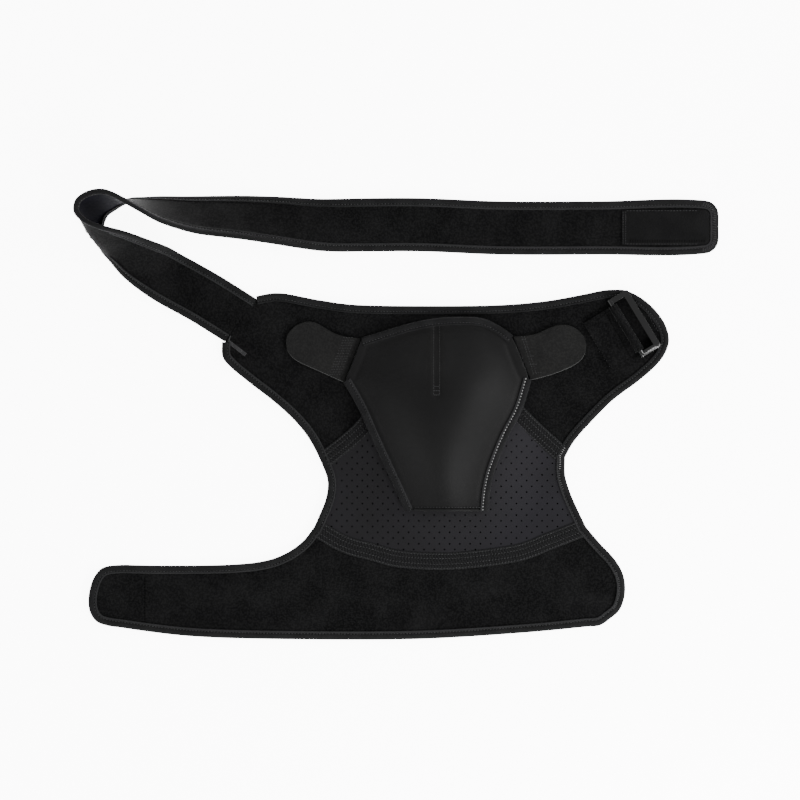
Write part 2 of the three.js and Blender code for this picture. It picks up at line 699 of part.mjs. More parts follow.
function makeStrapBinding() {
  const straight = strapBodyFrames(TRIM);
  const along = (side) => straight.map(({ place, width, normal }) => ({
    place: place.clone().addScaledVector(width, side * STRAP_HALF),
    inward: width.clone().multiplyScalar(-side),
    normal,
  }));
  const corner = (side) => cornerAngles.map((angle) => {
    const { back, half } = endCorner(angle, 0);
    const { place, width, normal, run } = strapEnd;
    return {
      place: place.clone().addScaledVector(run, -back).addScaledVector(width, side * half),
      inward: width.clone().multiplyScalar(-side * Math.cos(angle)).addScaledVector(run, -Math.sin(angle)),
      normal,
    };
  });
  const frames = [...along(1), ...corner(1), ...corner(-1).reverse(), ...along(-1).reverse()];
  return sweep(frames, BINDING_SECTION);
}

// Hook patch on the velour side of the strap's free end, inside the binding
function makeStrapHookPatch() {
  const setIn = BINDING_WIDTH + HOOK_PATCH_MARGIN;
  const { place, run } = strapEnd;
  const start = { ...strapEnd, place: place.clone().addScaledVector(run, -HOOK_PATCH_LENGTH - setIn) };
  const corners = cornerAngles.map((angle) => {
    const { back, half } = endCorner(angle, setIn);
    return { ...strapEnd, place: place.clone().addScaledVector(run, -back), half };
  });
  const lift = CLOTH / 2 + CLEARANCE + HOOK_PATCH_THICKNESS / 2;
  return ribbon([{ ...start, half: STRAP_HALF - setIn }, ...corners], HOOK_PATCH_THICKNESS, lift);
}

// Arm hook patch under the end of the tail
function makeArmHookPatch() {
  const { x } = tailPoint(TAIL_END[2]);
  const upper = tailPoint(TAIL_END[0]).y;
  const lower = tailPoint(TAIL_END.at(-1)).y;
  const patchBox = new THREE.BoxGeometry(ARM_PATCH_LENGTH, ARM_PATCH_WIDTH, ARM_PATCH_THICKNESS);
  patchBox.translate(
    x + BINDING_WIDTH + ARM_PATCH_MARGIN + ARM_PATCH_LENGTH / 2,
    (upper + lower) / 2,
    BASE - CLEARANCE - ARM_PATCH_THICKNESS / 2,
  );
  return patchBox;
}

// Buckle on its pin in the loop of the tab
const BUCKLE_PLACE = bodyPoint([0.844, 0.933]);
const LOOP_RADIUS = BUCKLE_PIN_RADIUS + LOOP_CLEARANCE + LOOP_PLY;
const PIN_LIFT = CLEARANCE + LOOP_RADIUS;
const BUCKLE_LENGTH = STRAP_WIDTH + BUCKLE_STRAP_ROOM + 2 * BUCKLE_SIDE_BAR;
const PIN_TO_FRONT = BUCKLE_ACROSS - BUCKLE_PIN_RADIUS - BUCKLE_FRONT_BAR / 2;
const FRONT_LIFT = CLEARANCE + BINDING_WALL + CLEARANCE + BUCKLE_THICKNESS / 2;
const BUCKLE_TILT = Math.asin((PIN_LIFT - FRONT_LIFT) / PIN_TO_FRONT);

function makeBuckle() {
  const pin = new THREE.CylinderGeometry(BUCKLE_PIN_RADIUS, BUCKLE_PIN_RADIUS, BUCKLE_LENGTH, 12);
  const front = barOutline(BUCKLE_FRONT_BAR, BUCKLE_LENGTH);
  front.translate(PIN_TO_FRONT, 0, 0);
  const sides = [1, -1].map((side) => {
    const bar = new THREE.BoxGeometry(PIN_TO_FRONT, BUCKLE_SIDE_BAR, BUCKLE_THICKNESS);
    bar.translate(PIN_TO_FRONT / 2, side * (BUCKLE_LENGTH - BUCKLE_SIDE_BAR) / 2, 0);
    return toSolid(bar);
  });
  return toGeometry(sides.reduce((ring, side) => ring.add(side), toSolid(pin).add(toSolid(front))));
}

function barOutline(width, length) {
  const corner = BUCKLE_PIN_RADIUS;
  const shape = new THREE.Shape();
  shape.moveTo(-width / 2, -length / 2);
  shape.lineTo(width / 2 - corner, -length / 2);
  shape.absarc(width / 2 - corner, -length / 2 + corner, corner, -Math.PI / 2, 0);
  shape.absarc(width / 2 - corner, length / 2 - corner, corner, 0, Math.PI / 2);
  shape.lineTo(-width / 2, length / 2);
  const bar = new THREE.ExtrudeGeometry(shape, {
    depth: BUCKLE_THICKNESS, bevelEnabled: false, curveSegments: 3,
  });
  bar.translate(0, 0, -BUCKLE_THICKNESS / 2);
  return bar;
}

// Buckle tab: two plies sewn down behind, round the pin in front
function makeBuckleTab() {
  const shape = new THREE.Shape();
  const joinAngle = Math.asin((2 * LOOP_PLY - LOOP_RADIUS) / LOOP_RADIUS);
  shape.moveTo(0, -LOOP_RADIUS);
  shape.absarc(0, 0, LOOP_RADIUS, -Math.PI / 2, Math.PI - joinAngle);
  shape.lineTo(-LOOP_TAIL, 2 * LOOP_PLY - LOOP_RADIUS);
  shape.lineTo(-LOOP_TAIL, -LOOP_RADIUS);
  const bore = new THREE.Path();
  bore.absarc(0, 0, BUCKLE_PIN_RADIUS + LOOP_CLEARANCE, 0, 2 * Math.PI, true);
  shape.holes.push(bore);
  const tab = new THREE.ExtrudeGeometry(shape, { depth: LOOP_WIDTH, bevelEnabled: false, curveSegments: 8 });
  tab.rotateX(Math.PI / 2);
  tab.translate(0, LOOP_WIDTH / 2, 0);
  return tab;
}

// Assembly

addPiece('upper_panel', makeUpperPanel(), VELOUR);
addPiece('centre_panel', makeCentrePanel(), NEOPRENE);
addPiece('arm_panel', makeArmPanel(), VELOUR);
addPiece('top_binding', makeRimBinding('top', 'underWing'), BINDING);
addPiece('right_binding', makeRimBinding('rightSide', 'rightSide'), BINDING);
addPiece('arm_binding', makeRimBinding('lobe', 'tailTop'), BINDING);
addPiece('left_binding', makeRimBinding('leftSide', 'leftUpperSide'), BINDING);
addPiece('shoulder_seam_tape', makeSeamTape(shoulderSeam), BINDING);
addPiece('arm_seam_tape', makeSeamTape(armSeam), BINDING);
addPiece('pad', makePad(), NEOPRENE);
const atTab = PAD_BINDING_SETBACK;
addPiece('pad_binding_left', makePadBinding(padOutline.left, 0, atTab), BINDING);
addPiece('pad_binding_top', makePadBinding(padOutline.top, atTab, atTab), BINDING);
addPiece('pad_binding_right', makePadBinding(padOutline.right, atTab, 0), BINDING);
addPiece('hook_tab_left', makeHookTab(TAB_LEFT, padOutline.leftJoint), TAB_CLOTH);
addPiece('hook_tab_right', makeHookTab(TAB_RIGHT, padOutline.rightJoint), TAB_CLOTH);

addPiece('chest_strap', makeChestStrap(), VELOUR);
addPiece('strap_binding', makeStrapBinding(), BINDING);
addPiece('strap_hook_patch', makeStrapHookPatch(), HOOK_CLOTH);
addPiece('arm_hook_patch', makeArmHookPatch(), HOOK_CLOTH);

const buckleSet = new THREE.Group();
buckleSet.position.set(
  BUCKLE_PLACE.x - Math.cos(BUCKLE_HEADING) * (BUCKLE_ACROSS / 2 - BUCKLE_PIN_RADIUS),
  BUCKLE_PLACE.y - Math.sin(BUCKLE_HEADING) * (BUCKLE_ACROSS / 2 - BUCKLE_PIN_RADIUS),
  BODY_TOP + PIN_LIFT,
);
buckleSet.rotation.z = BUCKLE_HEADING;
brace.add(buckleSet);
addPiece('buckle_tab', makeBuckleTab(), TAB_CLOTH, buckleSet);
addPiece('buckle', makeBuckle(), PLASTIC, buckleSet).rotation.y = BUCKLE_TILT;

// The origin goes below the middle of the whole part, on the floor.
brace.updateMatrixWorld(true);
const whole = new THREE.Box3().setFromObject(brace, true);
brace.position.set(-(whole.min.x + whole.max.x) / 2, -(whole.min.y + whole.max.y) / 2, -whole.min.z);
brace.updateMatrixWorld(true);

export default brace;
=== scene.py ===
# %% [markdown]
# # A shoulder brace, laid flat
# The brace is a cloth garment: a yoke, a domed and perforated panel over the upper arm, an arm band with
# a long tail, a pad for a cold pack, and a chest strap that doubles back over itself.
# The measured solids come from the frame. This lesson dresses each of them in cloth, thread and plastic.

# %% Load the frame and keep its size
import math

import bmesh
import bpy
import numpy as np
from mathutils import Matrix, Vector, kdtree
from mathutils.bvhtree import BVHTree


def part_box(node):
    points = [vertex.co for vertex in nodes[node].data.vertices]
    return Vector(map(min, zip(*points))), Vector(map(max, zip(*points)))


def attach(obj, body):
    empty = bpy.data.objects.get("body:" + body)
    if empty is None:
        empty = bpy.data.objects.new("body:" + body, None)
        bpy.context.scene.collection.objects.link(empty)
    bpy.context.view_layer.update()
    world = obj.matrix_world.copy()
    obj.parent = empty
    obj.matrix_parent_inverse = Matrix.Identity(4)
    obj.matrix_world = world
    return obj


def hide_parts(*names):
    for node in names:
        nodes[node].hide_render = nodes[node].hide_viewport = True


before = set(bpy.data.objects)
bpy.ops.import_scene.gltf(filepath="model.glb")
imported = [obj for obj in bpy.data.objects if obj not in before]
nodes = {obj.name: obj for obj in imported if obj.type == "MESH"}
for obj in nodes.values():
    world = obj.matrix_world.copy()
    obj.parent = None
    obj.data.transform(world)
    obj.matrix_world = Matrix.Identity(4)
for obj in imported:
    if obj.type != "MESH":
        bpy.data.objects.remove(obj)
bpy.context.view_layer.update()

MM = 0.001

# %% [markdown]
# ## Selecting
# An operator acts on everything that is selected, and the solids arrive selected. So each step starts by
# picking its own piece and nothing else. A piece of many small parts is made from lists of its corners.

# %% Pick a piece, edit it, or make a new one
def pick(*pieces):
    bpy.ops.object.select_all(action="DESELECT")
    for piece in pieces:
        piece.select_set(True)
    bpy.context.view_layer.objects.active = pieces[0]


def edit(piece):
    pick(piece)
    bpy.ops.object.mode_set(mode="EDIT")
    bpy.ops.mesh.select_all(action="SELECT")


def leave_edit():
    bpy.ops.object.mode_set(mode="OBJECT")


def added(operator, **settings):
    bpy.ops.object.select_all(action="DESELECT")
    operator(**settings)
    return bpy.context.active_object


def turn_outward(piece):
    edit(piece)
    bpy.ops.mesh.normals_make_consistent(inside=False)
    leave_edit()


def new_piece(name, corners, faces):
    mesh = bpy.data.meshes.new(name)
    mesh.from_pydata([tuple(corner) for corner in corners], [], faces)
    piece = bpy.data.objects.new(name, mesh)
    bpy.context.scene.collection.objects.link(piece)
    return piece


def shape_of(piece):
    corners = np.array([vert.co for vert in piece.data.vertices])
    faces = [tuple(face.vertices) for face in piece.data.polygons]
    bpy.data.objects.remove(piece)
    return corners, faces


def many_of(name, copies, faces_of_one):
    """One piece made of copies of a small shape, each given by its own corners."""
    starts = range(0, len(copies) * len(copies[0]), len(copies[0]))
    faces = [tuple(start + i for i in face) for start in starts for face in faces_of_one]
    return new_piece(name, np.vstack(copies), faces)


def apply(piece, kind, **settings):
    pick(piece)
    bpy.ops.object.modifier_add(type=kind)
    modifier = piece.modifiers[-1]
    for name, value in settings.items():
        setattr(modifier, name, value)
    bpy.ops.object.modifier_apply(modifier=modifier.name)


# %% [markdown]
# ## Softening a solid
# A solid from the frame has flat facets and sharp corners. Cloth has neither. A copy is merged, its
# triangles are paired into squares, its sharp edges are creased so that they stay thin, and a subdivision
# surface rounds the rest. This keeps the measured shape, which modelling it again from nothing would not.

# %% Make a merged copy of a solid, and round it
def copy_of(node, name):
    piece = bpy.data.objects.new(name, nodes[node].data.copy())
    piece.data.name = name
    piece.data.materials.clear()
    bpy.context.scene.collection.objects.link(piece)
    edit(piece)
    bpy.ops.mesh.remove_doubles(threshold=0.01 * MM)
    bpy.ops.mesh.tris_convert_to_quads(face_threshold=math.radians(40), shape_threshold=math.radians(70))
    leave_edit()
    return piece


def soften(piece, levels=2, crease=1.0, sharp=50):
    edit(piece)
    bpy.ops.mesh.select_all(action="DESELECT")
    bpy.ops.mesh.select_mode(type="EDGE")
    bpy.ops.mesh.edges_select_sharp(sharpness=math.radians(sharp))
    bpy.ops.transform.edge_crease(value=crease)
    leave_edit()
    apply(piece, "SUBSURF", levels=levels, render_levels=levels)
    smooth(piece)


def smooth(piece, angle=40):
    pick(piece)
    bpy.ops.object.shade_smooth_by_angle(angle=math.radians(angle))


# %% [markdown]
# ## Reading the edge of a sheet
# Binding folds over the edge of a sheet, so its path is that edge. A sheet has two broad sides and a
# narrow wall between them. The walk below finds the upper side, follows its border with the inside on
# the left, and takes the middle of the wall and the direction across it at each corner. Only the longest
# line of a sheet is kept.

# %% Find the broad sides of a sheet and the line round its edge
def broad_sides(mesh, fold=math.radians(50)):
    waiting, sides = set(mesh.faces), []
    while waiting:
        face = waiting.pop()
        side, edge_of_search = {face}, [face]
        while edge_of_search:
            for edge in edge_of_search.pop().edges:
                if len(edge.link_faces) == 2 and edge.calc_face_angle() < fold:
                    fresh = [f for f in edge.link_faces if f in waiting]
                    waiting.difference_update(fresh)
                    side.update(fresh)
                    edge_of_search.extend(fresh)
        sides.append(side)
    sides.sort(key=lambda side: -sum(face.calc_area() for face in side))
    return sorted(sides[:2], key=lambda side: -sum(f.normal.z * f.calc_area() for f in side))


def edge_line(piece):
    mesh = bmesh.new()
    mesh.from_mesh(piece.data)
    upper = broad_sides(mesh)[0]
    inside = {vert for face in upper for vert in face.verts}
    follows = {}
    for face in upper:
        for loop in face.loops:
            if any(other not in upper for other in loop.edge.link_faces):
                follows[loop.vert] = loop.link_loop_next.vert
    lines = []
    while follows:
        vert = next(iter(follows))
        line = []
        while vert in follows:
            line.append(vert)
            vert = follows.pop(vert)
        lines.append(line)
    longest = max(lines, key=len)
    result = []
    for vert in longest:
        across = [edge.other_vert(vert) for edge in vert.link_edges if edge.other_vert(vert) not in inside]
        mate = min(across, key=lambda other: (other.co - vert.co).length) if across else None
        if mate is not None:
            result.append(((vert.co + mate.co) / 2, (vert.co - mate.co).normalized()))
    mesh.free()
    return np.array([[*point, *up] for point, up in result])


panels = {name: copy_of(name, name + "_cloth") for name in ("upper_panel", "centre_panel", "arm_panel")}
edge_lines = {name: edge_line(piece) for name, piece in panels.items()}
print({name: len(line) for name, line in edge_lines.items()})

# %% [markdown]
# ## Where each binding runs
# The binding of the brace is sewn on in runs, and one run can pass from one panel to the next. So the
# stretches of edge that lie inside a run of binding are taken from each panel and joined end to end. A ray
# from above and one from below then set the line on the middle of the rounded cloth.

# %% Follow the edges that a run of binding covers, and smooth the line
def surface_of(*meshes):
    corners, faces = [], []
    for mesh in meshes:
        faces += [[len(corners) + i for i in face.vertices] for face in mesh.polygons]
        corners += [vert.co for vert in mesh.vertices]
    return BVHTree.FromPolygons(corners, faces)


def tree_of(points):
    tree = kdtree.KDTree(len(points))
    for i, point in enumerate(points):
        tree.insert(point, i)
    tree.balance()
    return tree


def near_stretches(line, is_near):
    """The stretches of a closed line of which each edge passes the test at three of its points."""
    shares = (0.2, 0.5, 0.8)
    count = len(line)
    pairs = [(line[i], line[(i + 1) % count]) for i in range(count)]
    near = [all(is_near(a[:3] * (1 - share) + b[:3] * share) for share in shares) for a, b in pairs]
    if all(near):
        return [np.vstack([line, line[:1]])]
    start = near.index(False) + 1
    stretches, current = [], []
    for i in (k % count for k in range(start, start + count)):
        if near[i]:
            current.append(line[i])
        elif current:
            stretches.append(np.array([*current, line[i]]))
            current = []
    return stretches


def without_hooks(run, sharpest=math.cos(math.radians(50))):
    """Drops the first points of a run as long as it starts with a turn round a corner of the cloth."""
    while len(run) > 3:
        first, second = (run[1] - run[0])[:3], (run[2] - run[1])[:3]
        if first @ second > sharpest * np.linalg.norm(first) * np.linalg.norm(second):
            break
        run = run[1:]
    return run


def covered_line(node, lines, reach=2.2 * MM):
    surface = surface_of(nodes[node].data)
    is_near = lambda point: surface.find_nearest(point)[3] < reach
    waiting = [stretch for line in lines for stretch in near_stretches(line, is_near)]
    run = waiting.pop(0)
    while waiting:
        gaps = [(np.linalg.norm(run[-1, :3] - s[0, :3]), i, True) for i, s in enumerate(waiting)]
        gaps += [(np.linalg.norm(run[0, :3] - s[-1, :3]), i, False) for i, s in enumerate(waiting)]
        gap, i, after = min(gaps)
        if gap > 2 * MM:
            break
        piece = waiting.pop(i)
        run = np.vstack([run, piece[1:]]) if after else np.vstack([piece[:-1], run])
    return without_hooks(without_hooks(run)[::-1])[::-1]


def length_along(points):
    """How far along a line each of its points lies."""
    return np.concatenate([[0], np.cumsum(np.linalg.norm(np.diff(points, axis=0), axis=1))])


def longer(line, before, after):
    """The line with its ends drawn out by so many metres."""
    first, last = line[0].copy(), line[-1].copy()
    first[:3] += (line[0] - line[1])[:3] / np.linalg.norm((line[0] - line[1])[:3]) * before
    last[:3] += (line[-1] - line[-2])[:3] / np.linalg.norm((line[-1] - line[-2])[:3]) * after
    return np.vstack([first, line[1:-1], last])


def smooth_line(line, step):
    """Points about a step apart on a curve that passes through each corner of a line."""
    edges = np.diff(line, axis=0)
    sizes = np.linalg.norm(edges[:, :3], axis=1, keepdims=True)
    ways = edges / sizes
    bends = np.vstack([ways[:1], (ways[:-1] + ways[1:]) / 2, ways[-1:]])
    result = []
    for a, b, from_a, into_b, size in zip(line, line[1:], bends, bends[1:], sizes):
        count = max(1, round(float(size[0]) / step))
        for t in np.arange(count) / count:
            result.append(
                (2 * t**3 - 3 * t**2 + 1) * a + (t**3 - 2 * t**2 + t) * from_a * size
                + (3 * t**2 - 2 * t**3) * b + (t**3 - t**2) * into_b * size
            )
    return np.vstack([result, line[-1]])


def frames_along(line, step=2.5 * MM):
    line = smooth_line(line, step)
    place, up = line[:, :3], line[:, 3:]
    along = np.gradient(place, axis=0)
    along /= np.linalg.norm(along, axis=1, keepdims=True)
    up = up - along * np.sum(up * along, axis=1, keepdims=True)
    up /= np.linalg.norm(up, axis=1, keepdims=True)
    inward = np.cross(up, along)
    return place, along, up, inward


TAPE_HALF_HEIGHT = 2.35 * MM
EVENED_FRAMES = 7


def lie_on(frames, *pieces, rim=1.5 * MM, inset=6.5 * MM, reach=5 * MM):
    """Sets frames on the middle of the cloth at its edge, and lifts what would sink in the floor."""
    place, along, up, inward = frames
    cloth = surface_of(*[piece.data for piece in pieces])

    def middle(spot, u):
        upper = cloth.ray_cast(Vector(spot + u * reach), Vector(-u), 2 * reach)[0]
        lower = cloth.ray_cast(Vector(spot - u * reach), Vector(u), 2 * reach)[0]
        return (np.array(upper) + np.array(lower)) / 2 if upper and lower else spot

    def evened(rows):
        spare = EVENED_FRAMES // 2
        padded = np.vstack([rows[:1]] * spare + [rows] + [rows[-1:]] * spare)
        return sum(padded[k : k + len(rows)] for k in range(EVENED_FRAMES)) / EVENED_FRAMES

    shifts = [middle(p + i * rim, u) - p - i * rim for p, u, i in zip(place, up, inward)]
    place = place + evened(np.array(shifts))
    turned = np.array([middle(p + i * inset, u) - p for p, u, i in zip(place, up, inward)])
    inward = evened(turned / np.linalg.norm(turned, axis=1, keepdims=True))
    inward -= along * np.sum(inward * along, axis=1, keepdims=True)
    inward /= np.linalg.norm(inward, axis=1, keepdims=True)
    up = np.cross(along, inward)
    place[:, 2] = np.maximum(place[:, 2], TAPE_HALF_HEIGHT * np.abs(up[:, 2]))
    return place, along, up, inward


# %% [markdown]
# ## Sweeping a section
# Binding and tape are long strips with the same section all the way. An operator can extrude such a
# section, but it can't keep it turned with a strap that twists, so the rings are placed by numbers here.
# Each strip carries its own map: along it and across it, which the stitches and the weave follow.

# %% Sweep a closed section along frames
MAP_UNIT = 10 * MM


def sweep(name, frames, section, lean=0.0, thickness=1.0):
    place, along, up, inward = frames
    section = np.array(section) * MM * (1, thickness)
    across, thick = section[:, 0], section[:, 1]
    rings = [p + np.outer(across - lean, i) + np.outer(thick, u) for p, u, i in zip(place, up, inward)]
    count, size = len(rings), len(section)
    faces = []
    for start in range(0, (count - 1) * size, size):
        for k in range(size):
            after = (k + 1) % size
            faces.append((start + k, start + after, start + size + after, start + size + k))
    faces += [tuple(range(size - 1, -1, -1)), tuple(range((count - 1) * size, count * size))]
    piece = new_piece(name, np.vstack(rings), faces)
    length = length_along(place)
    uv = piece.data.uv_layers.new(name="along").data
    for loop in piece.data.loops:
        ring, k = divmod(loop.vertex_index, size)
        uv[loop.index].uv = (length[ring] / MAP_UNIT, across[k] / MAP_UNIT)
    turn_outward(piece)
    smooth(piece, 45)
    return piece


# %% [markdown]
# ## Thread
# A machine stitch is a short grain of thread, a little raised. One grain is modelled from a sphere, and a
# row of stitches is that grain repeated, joined into one mesh, because real thread catches the light.

# %% Model one stitch, and sew rows of them
grain = added(bpy.ops.mesh.primitive_uv_sphere_add, segments=6, ring_count=4, radius=1.0)
edit(grain)
bpy.ops.mesh.remove_doubles(threshold=0.001)
leave_edit()
grain_corners, grain_faces = shape_of(grain)


def sew(name, stitches, length=2.1, width=0.62, height=0.45):
    copies = []
    for place, along, up in stitches:
        along = np.array(along) / np.linalg.norm(along)
        up = np.array(up) - along * np.dot(up, along)
        up /= np.linalg.norm(up)
        side = np.cross(up, along)
        grown = (
            np.outer(grain_corners[:, 2] * length / 2, along)
            + np.outer(grain_corners[:, 0] * width / 2, side)
            + np.outer(grain_corners[:, 1] * height / 2, up)
        )
        copies.append(np.array(place) + grown * MM)
    piece = many_of(name, copies, grain_faces)
    turn_outward(piece)
    smooth(piece, 60)
    return piece


def row_on_frames(frames, across, height, pitch=2.9, lean=0.0):
    place, along, up, inward = frames
    line = place + inward * (across * MM - lean) + up * height * MM
    length = length_along(line)
    where = np.arange(pitch / 2, length[-1] / MM, pitch) * MM
    mix = lambda values: np.stack([np.interp(where, length, values[:, k]) for k in range(3)], axis=1)
    return list(zip(mix(line), mix(along), mix(up)))


def row_on_surface(piece, points, pitch=2.9, lift=0.1):
    points = np.array(points, float)
    length = length_along(points)
    stitches = []
    for where in np.arange(pitch / 2, length[-1] / MM, pitch) * MM:
        x, y = (float(np.interp(where, length, points[:, k])) for k in range(2))
        ahead = [float(np.interp(where + 0.5 * MM, length, points[:, k])) for k in range(2)]
        hit, spot, normal, _ = piece.ray_cast(Vector((x, y, 0.2)), Vector((0, 0, -1)))
        if hit:
            along = np.array([ahead[0] - x, ahead[1] - y, 0.0])
            if np.linalg.norm(along) < 1e-7:
                along = np.array([*(points[-1] - points[-2]), 0.0])
            stitches.append((np.array(spot) + np.array(normal) * lift * MM, along, np.array(normal)))
    return stitches


print("one stitch has", len(grain_faces), "faces")

# %% [markdown]
# ## Shader sums
# A finish is a handful of sums on noise and on places. Written as node links they are long, so one small
# class wraps a socket and lets plain arithmetic add the Math nodes.

# %% Wrap a socket so that sums add nodes
class Wire:
    def __init__(self, tree, socket=None):
        self.tree, self.socket = tree, socket

    def node(self, kind, settings=None, output=0, **values):
        made = self.tree.nodes.new(kind)
        for name, value in (settings or {}).items():
            setattr(made, name, value)
        for name, value in values.items():
            key = int(name[1:]) if name[1:].isdigit() else name.replace("_", " ")
            self.feed(made.inputs[key], value)
        return Wire(self.tree, made.outputs[output])

    def feed(self, socket, value):
        if isinstance(value, Wire):
            self.tree.links.new(value.socket, socket)
        else:
            socket.default_value = value

    def math(self, operation, *values):
        inputs = {"_%d" % i: value for i, value in enumerate(values)}
        return self.node("ShaderNodeMath", {"operation": operation}, **inputs)

    def __add__(self, other):
        return self.math("ADD", self, other)

    def __sub__(self, other):
        return self.math("SUBTRACT", self, other)

    def __rsub__(self, other):
        return self.math("SUBTRACT", other, self)

    def __mul__(self, other):
        return self.math("MULTIPLY", self, other)

    __radd__ = __add__

    def own_place(self):
        return self.node("ShaderNodeTexCoord", output="Object")

    def split(self):
        """The first two parts of a vector."""
        parts = self.node("ShaderNodeSeparateXYZ", Vector=self)
        return parts, Wire(self.tree, parts.socket.node.outputs[1])

    def part(self, low, high):
        settings = {"interpolation_type": "SMOOTHSTEP", "clamp": True}
        return self.node("ShaderNodeMapRange", settings, Value=self, From_Min=low, From_Max=high)

    def band(self, low, high, soft):
        return self.part(low - soft, low + soft) * (1 - self.part(high - soft, high + soft))

    def wave(self, period):
        return self.math("SINE", self * (2 * math.pi / period)) * 0.5 + 0.5

    def colour(self, first, second):
        settings = {"data_type": "RGBA"}
        return self.node("ShaderNodeMix", settings, output=2, _0=self, _6=(*first, 1), _7=(*second, 1))


def new_finish(name, roughness, specular, sheen=0.0, sheen_roughness=0.5):
    material = bpy.data.materials.new(name)
    material.use_nodes = True
    shader = material.node_tree.nodes["Principled BSDF"]
    shader.inputs["Roughness"].default_value = roughness
    shader.inputs["Specular IOR Level"].default_value = specular
    shader.inputs["Sheen Weight"].default_value = sheen
    shader.inputs["Sheen Roughness"].default_value = sheen_roughness
    return material, shader, Wire(material.node_tree)


def finish(shader, wire, colour, height, depth, strength=1.0, roughness=None):
    wire.feed(shader.inputs["Base Color"], colour)
    bump = wire.node("ShaderNodeBump", Height=height, Strength=strength, Distance=depth * MM)
    wire.feed(shader.inputs["Normal"], bump)
    if roughness is not None:
        wire.feed(shader.inputs["Roughness"], roughness)


def noise(wire, place, size, detail=2.0, rough=0.5):
    """Noise from 0 to 1 with spots of about size millimetres."""
    return wire.node("ShaderNodeTexNoise", Vector=place, Scale=1000 / size, Detail=detail, Roughness=rough)


# %% [markdown]
# ## Velour
# The outside of the body and of the strap is a black loop velour that hook tape grips. It has a short pile
# that scatters light, lies in slightly different directions where a hand has brushed it, and looks a little
# greyer where it is brushed up. Noise gives the pile, the brushing and a speckle, small cells give the
# tufts, and a little sheen gives the soft edge.

# %% Velour, lining, tab cloth and hook cloth
def velour(name, dark, light, sheen):
    material, shader, wire = new_finish(name, 0.95, 0.02, sheen, 0.3)
    place = wire.own_place()
    pile = noise(wire, place, 0.9, 3.0, 0.7)
    brushed = noise(wire, place, 26, 3.0)
    tufts = wire.node("ShaderNodeTexVoronoi", Vector=place, Scale=1100)
    speckle = noise(wire, place, 1.6, 1.0)
    tone = brushed.part(0.3, 0.75) * 0.3 + pile.part(0.35, 0.7) * 0.3 + speckle.part(0.4, 0.65) * 0.4
    finish(shader, wire, tone.colour(dark, light), pile * 0.6 + tufts * 0.4, 0.35, 0.6)
    return material


VELOUR = velour("velour", (0.0014, 0.0014, 0.0015), (0.0080, 0.0080, 0.0081), 0.05)
TAB_CLOTH = velour("tab_cloth", (0.0064, 0.0064, 0.0064), (0.0124, 0.0124, 0.0121), 0.03)
# Painted highlight: a much paler velour for the cut sides of the hook tabs, standing in for those sides
# catching the light.
TAB_EDGE_HIGHLIGHT = velour("tab_edge_highlight", (0.035, 0.035, 0.035), (0.055, 0.055, 0.055), 0.03)


def lining():
    material, shader, wire = new_finish("lining", 0.85, 0.03, 0.02, 0.5)
    place = wire.own_place()
    across, down = place.split()
    ribs = across.wave(0.0011) * 0.5 + down.wave(0.0014) * 0.5
    worn = noise(wire, place, 30, 3.0)
    tone = ribs * 0.4 + worn.part(0.3, 0.7) * 0.6
    finish(shader, wire, tone.colour((0.0008, 0.0008, 0.0022), (0.0024, 0.0023, 0.0050)), ribs, 0.15, 0.5)
    return material


LINING = lining()


def hook_cloth():
    material, shader, wire = new_finish("hook_cloth", 0.7, 0.04)
    place = wire.own_place()
    hooks = wire.node("ShaderNodeTexVoronoi", Vector=place, Scale=900)
    cloudy = noise(wire, place, 20, 2.0)
    tone = cloudy.part(0.3, 0.7) * 0.5 + hooks.part(0.0, 0.6) * 0.5
    finish(shader, wire, tone.colour((0.0024, 0.0024, 0.0025), (0.005, 0.005, 0.0051)), 1 - hooks, 0.3, 0.6)
    return material


HOOK_CLOTH = hook_cloth()

# %% [markdown]
# ## Neoprene
# The pad and the panel under it are a foam laminate with a thin knit on its face. The pad is smooth and
# soft to the light, and the panel is a cooler grey, with painted light that makes it paler towards its
# right. Fine knit courses and a slow change of tone keep them from looking like plastic.

# %% Smooth and perforated neoprene
def neoprene(name, dark, light, rough, specular, painted_light_right=0.0):
    material, shader, wire = new_finish(name, rough, specular, 0.03, 0.4)
    place = wire.own_place()
    x, y = place.split()
    courses = x.wave(0.0009) * 0.5 + y.wave(0.0011) * 0.5
    cloudy = noise(wire, place, 45, 3.0)
    grain_mask = noise(wire, place, 0.7, 2.0)
    tone = cloudy.part(0.25, 0.75) * 0.55 + courses * 0.2 + grain_mask.part(0.3, 0.7) * 0.25
    # Painted light: the colour grows paler towards the right, as if that side were lit more strongly.
    tone = tone * (1 - painted_light_right) + x.part(0.06, 0.13) * painted_light_right * 0.6
    finish(shader, wire, tone.colour(dark, light), courses * 0.5 + grain_mask * 0.5, 0.12, 0.4)
    return material


PAD_FACE = neoprene("smooth_neoprene", (0.0038, 0.0038, 0.0038), (0.0056, 0.0056, 0.0057), 0.52, 0.055)
# The perforated panel gets painted light that makes it paler towards its right.
PERFORATED = neoprene(
    "perforated_neoprene", (0.0048, 0.0046, 0.0049), (0.0099, 0.0093, 0.0118), 0.55, 0.08, painted_light_right=0.5
)
HOLE_WALL = neoprene("hole_wall", (0.0022, 0.0022, 0.0023), (0.0036, 0.0036, 0.0038), 0.9, 0.0)
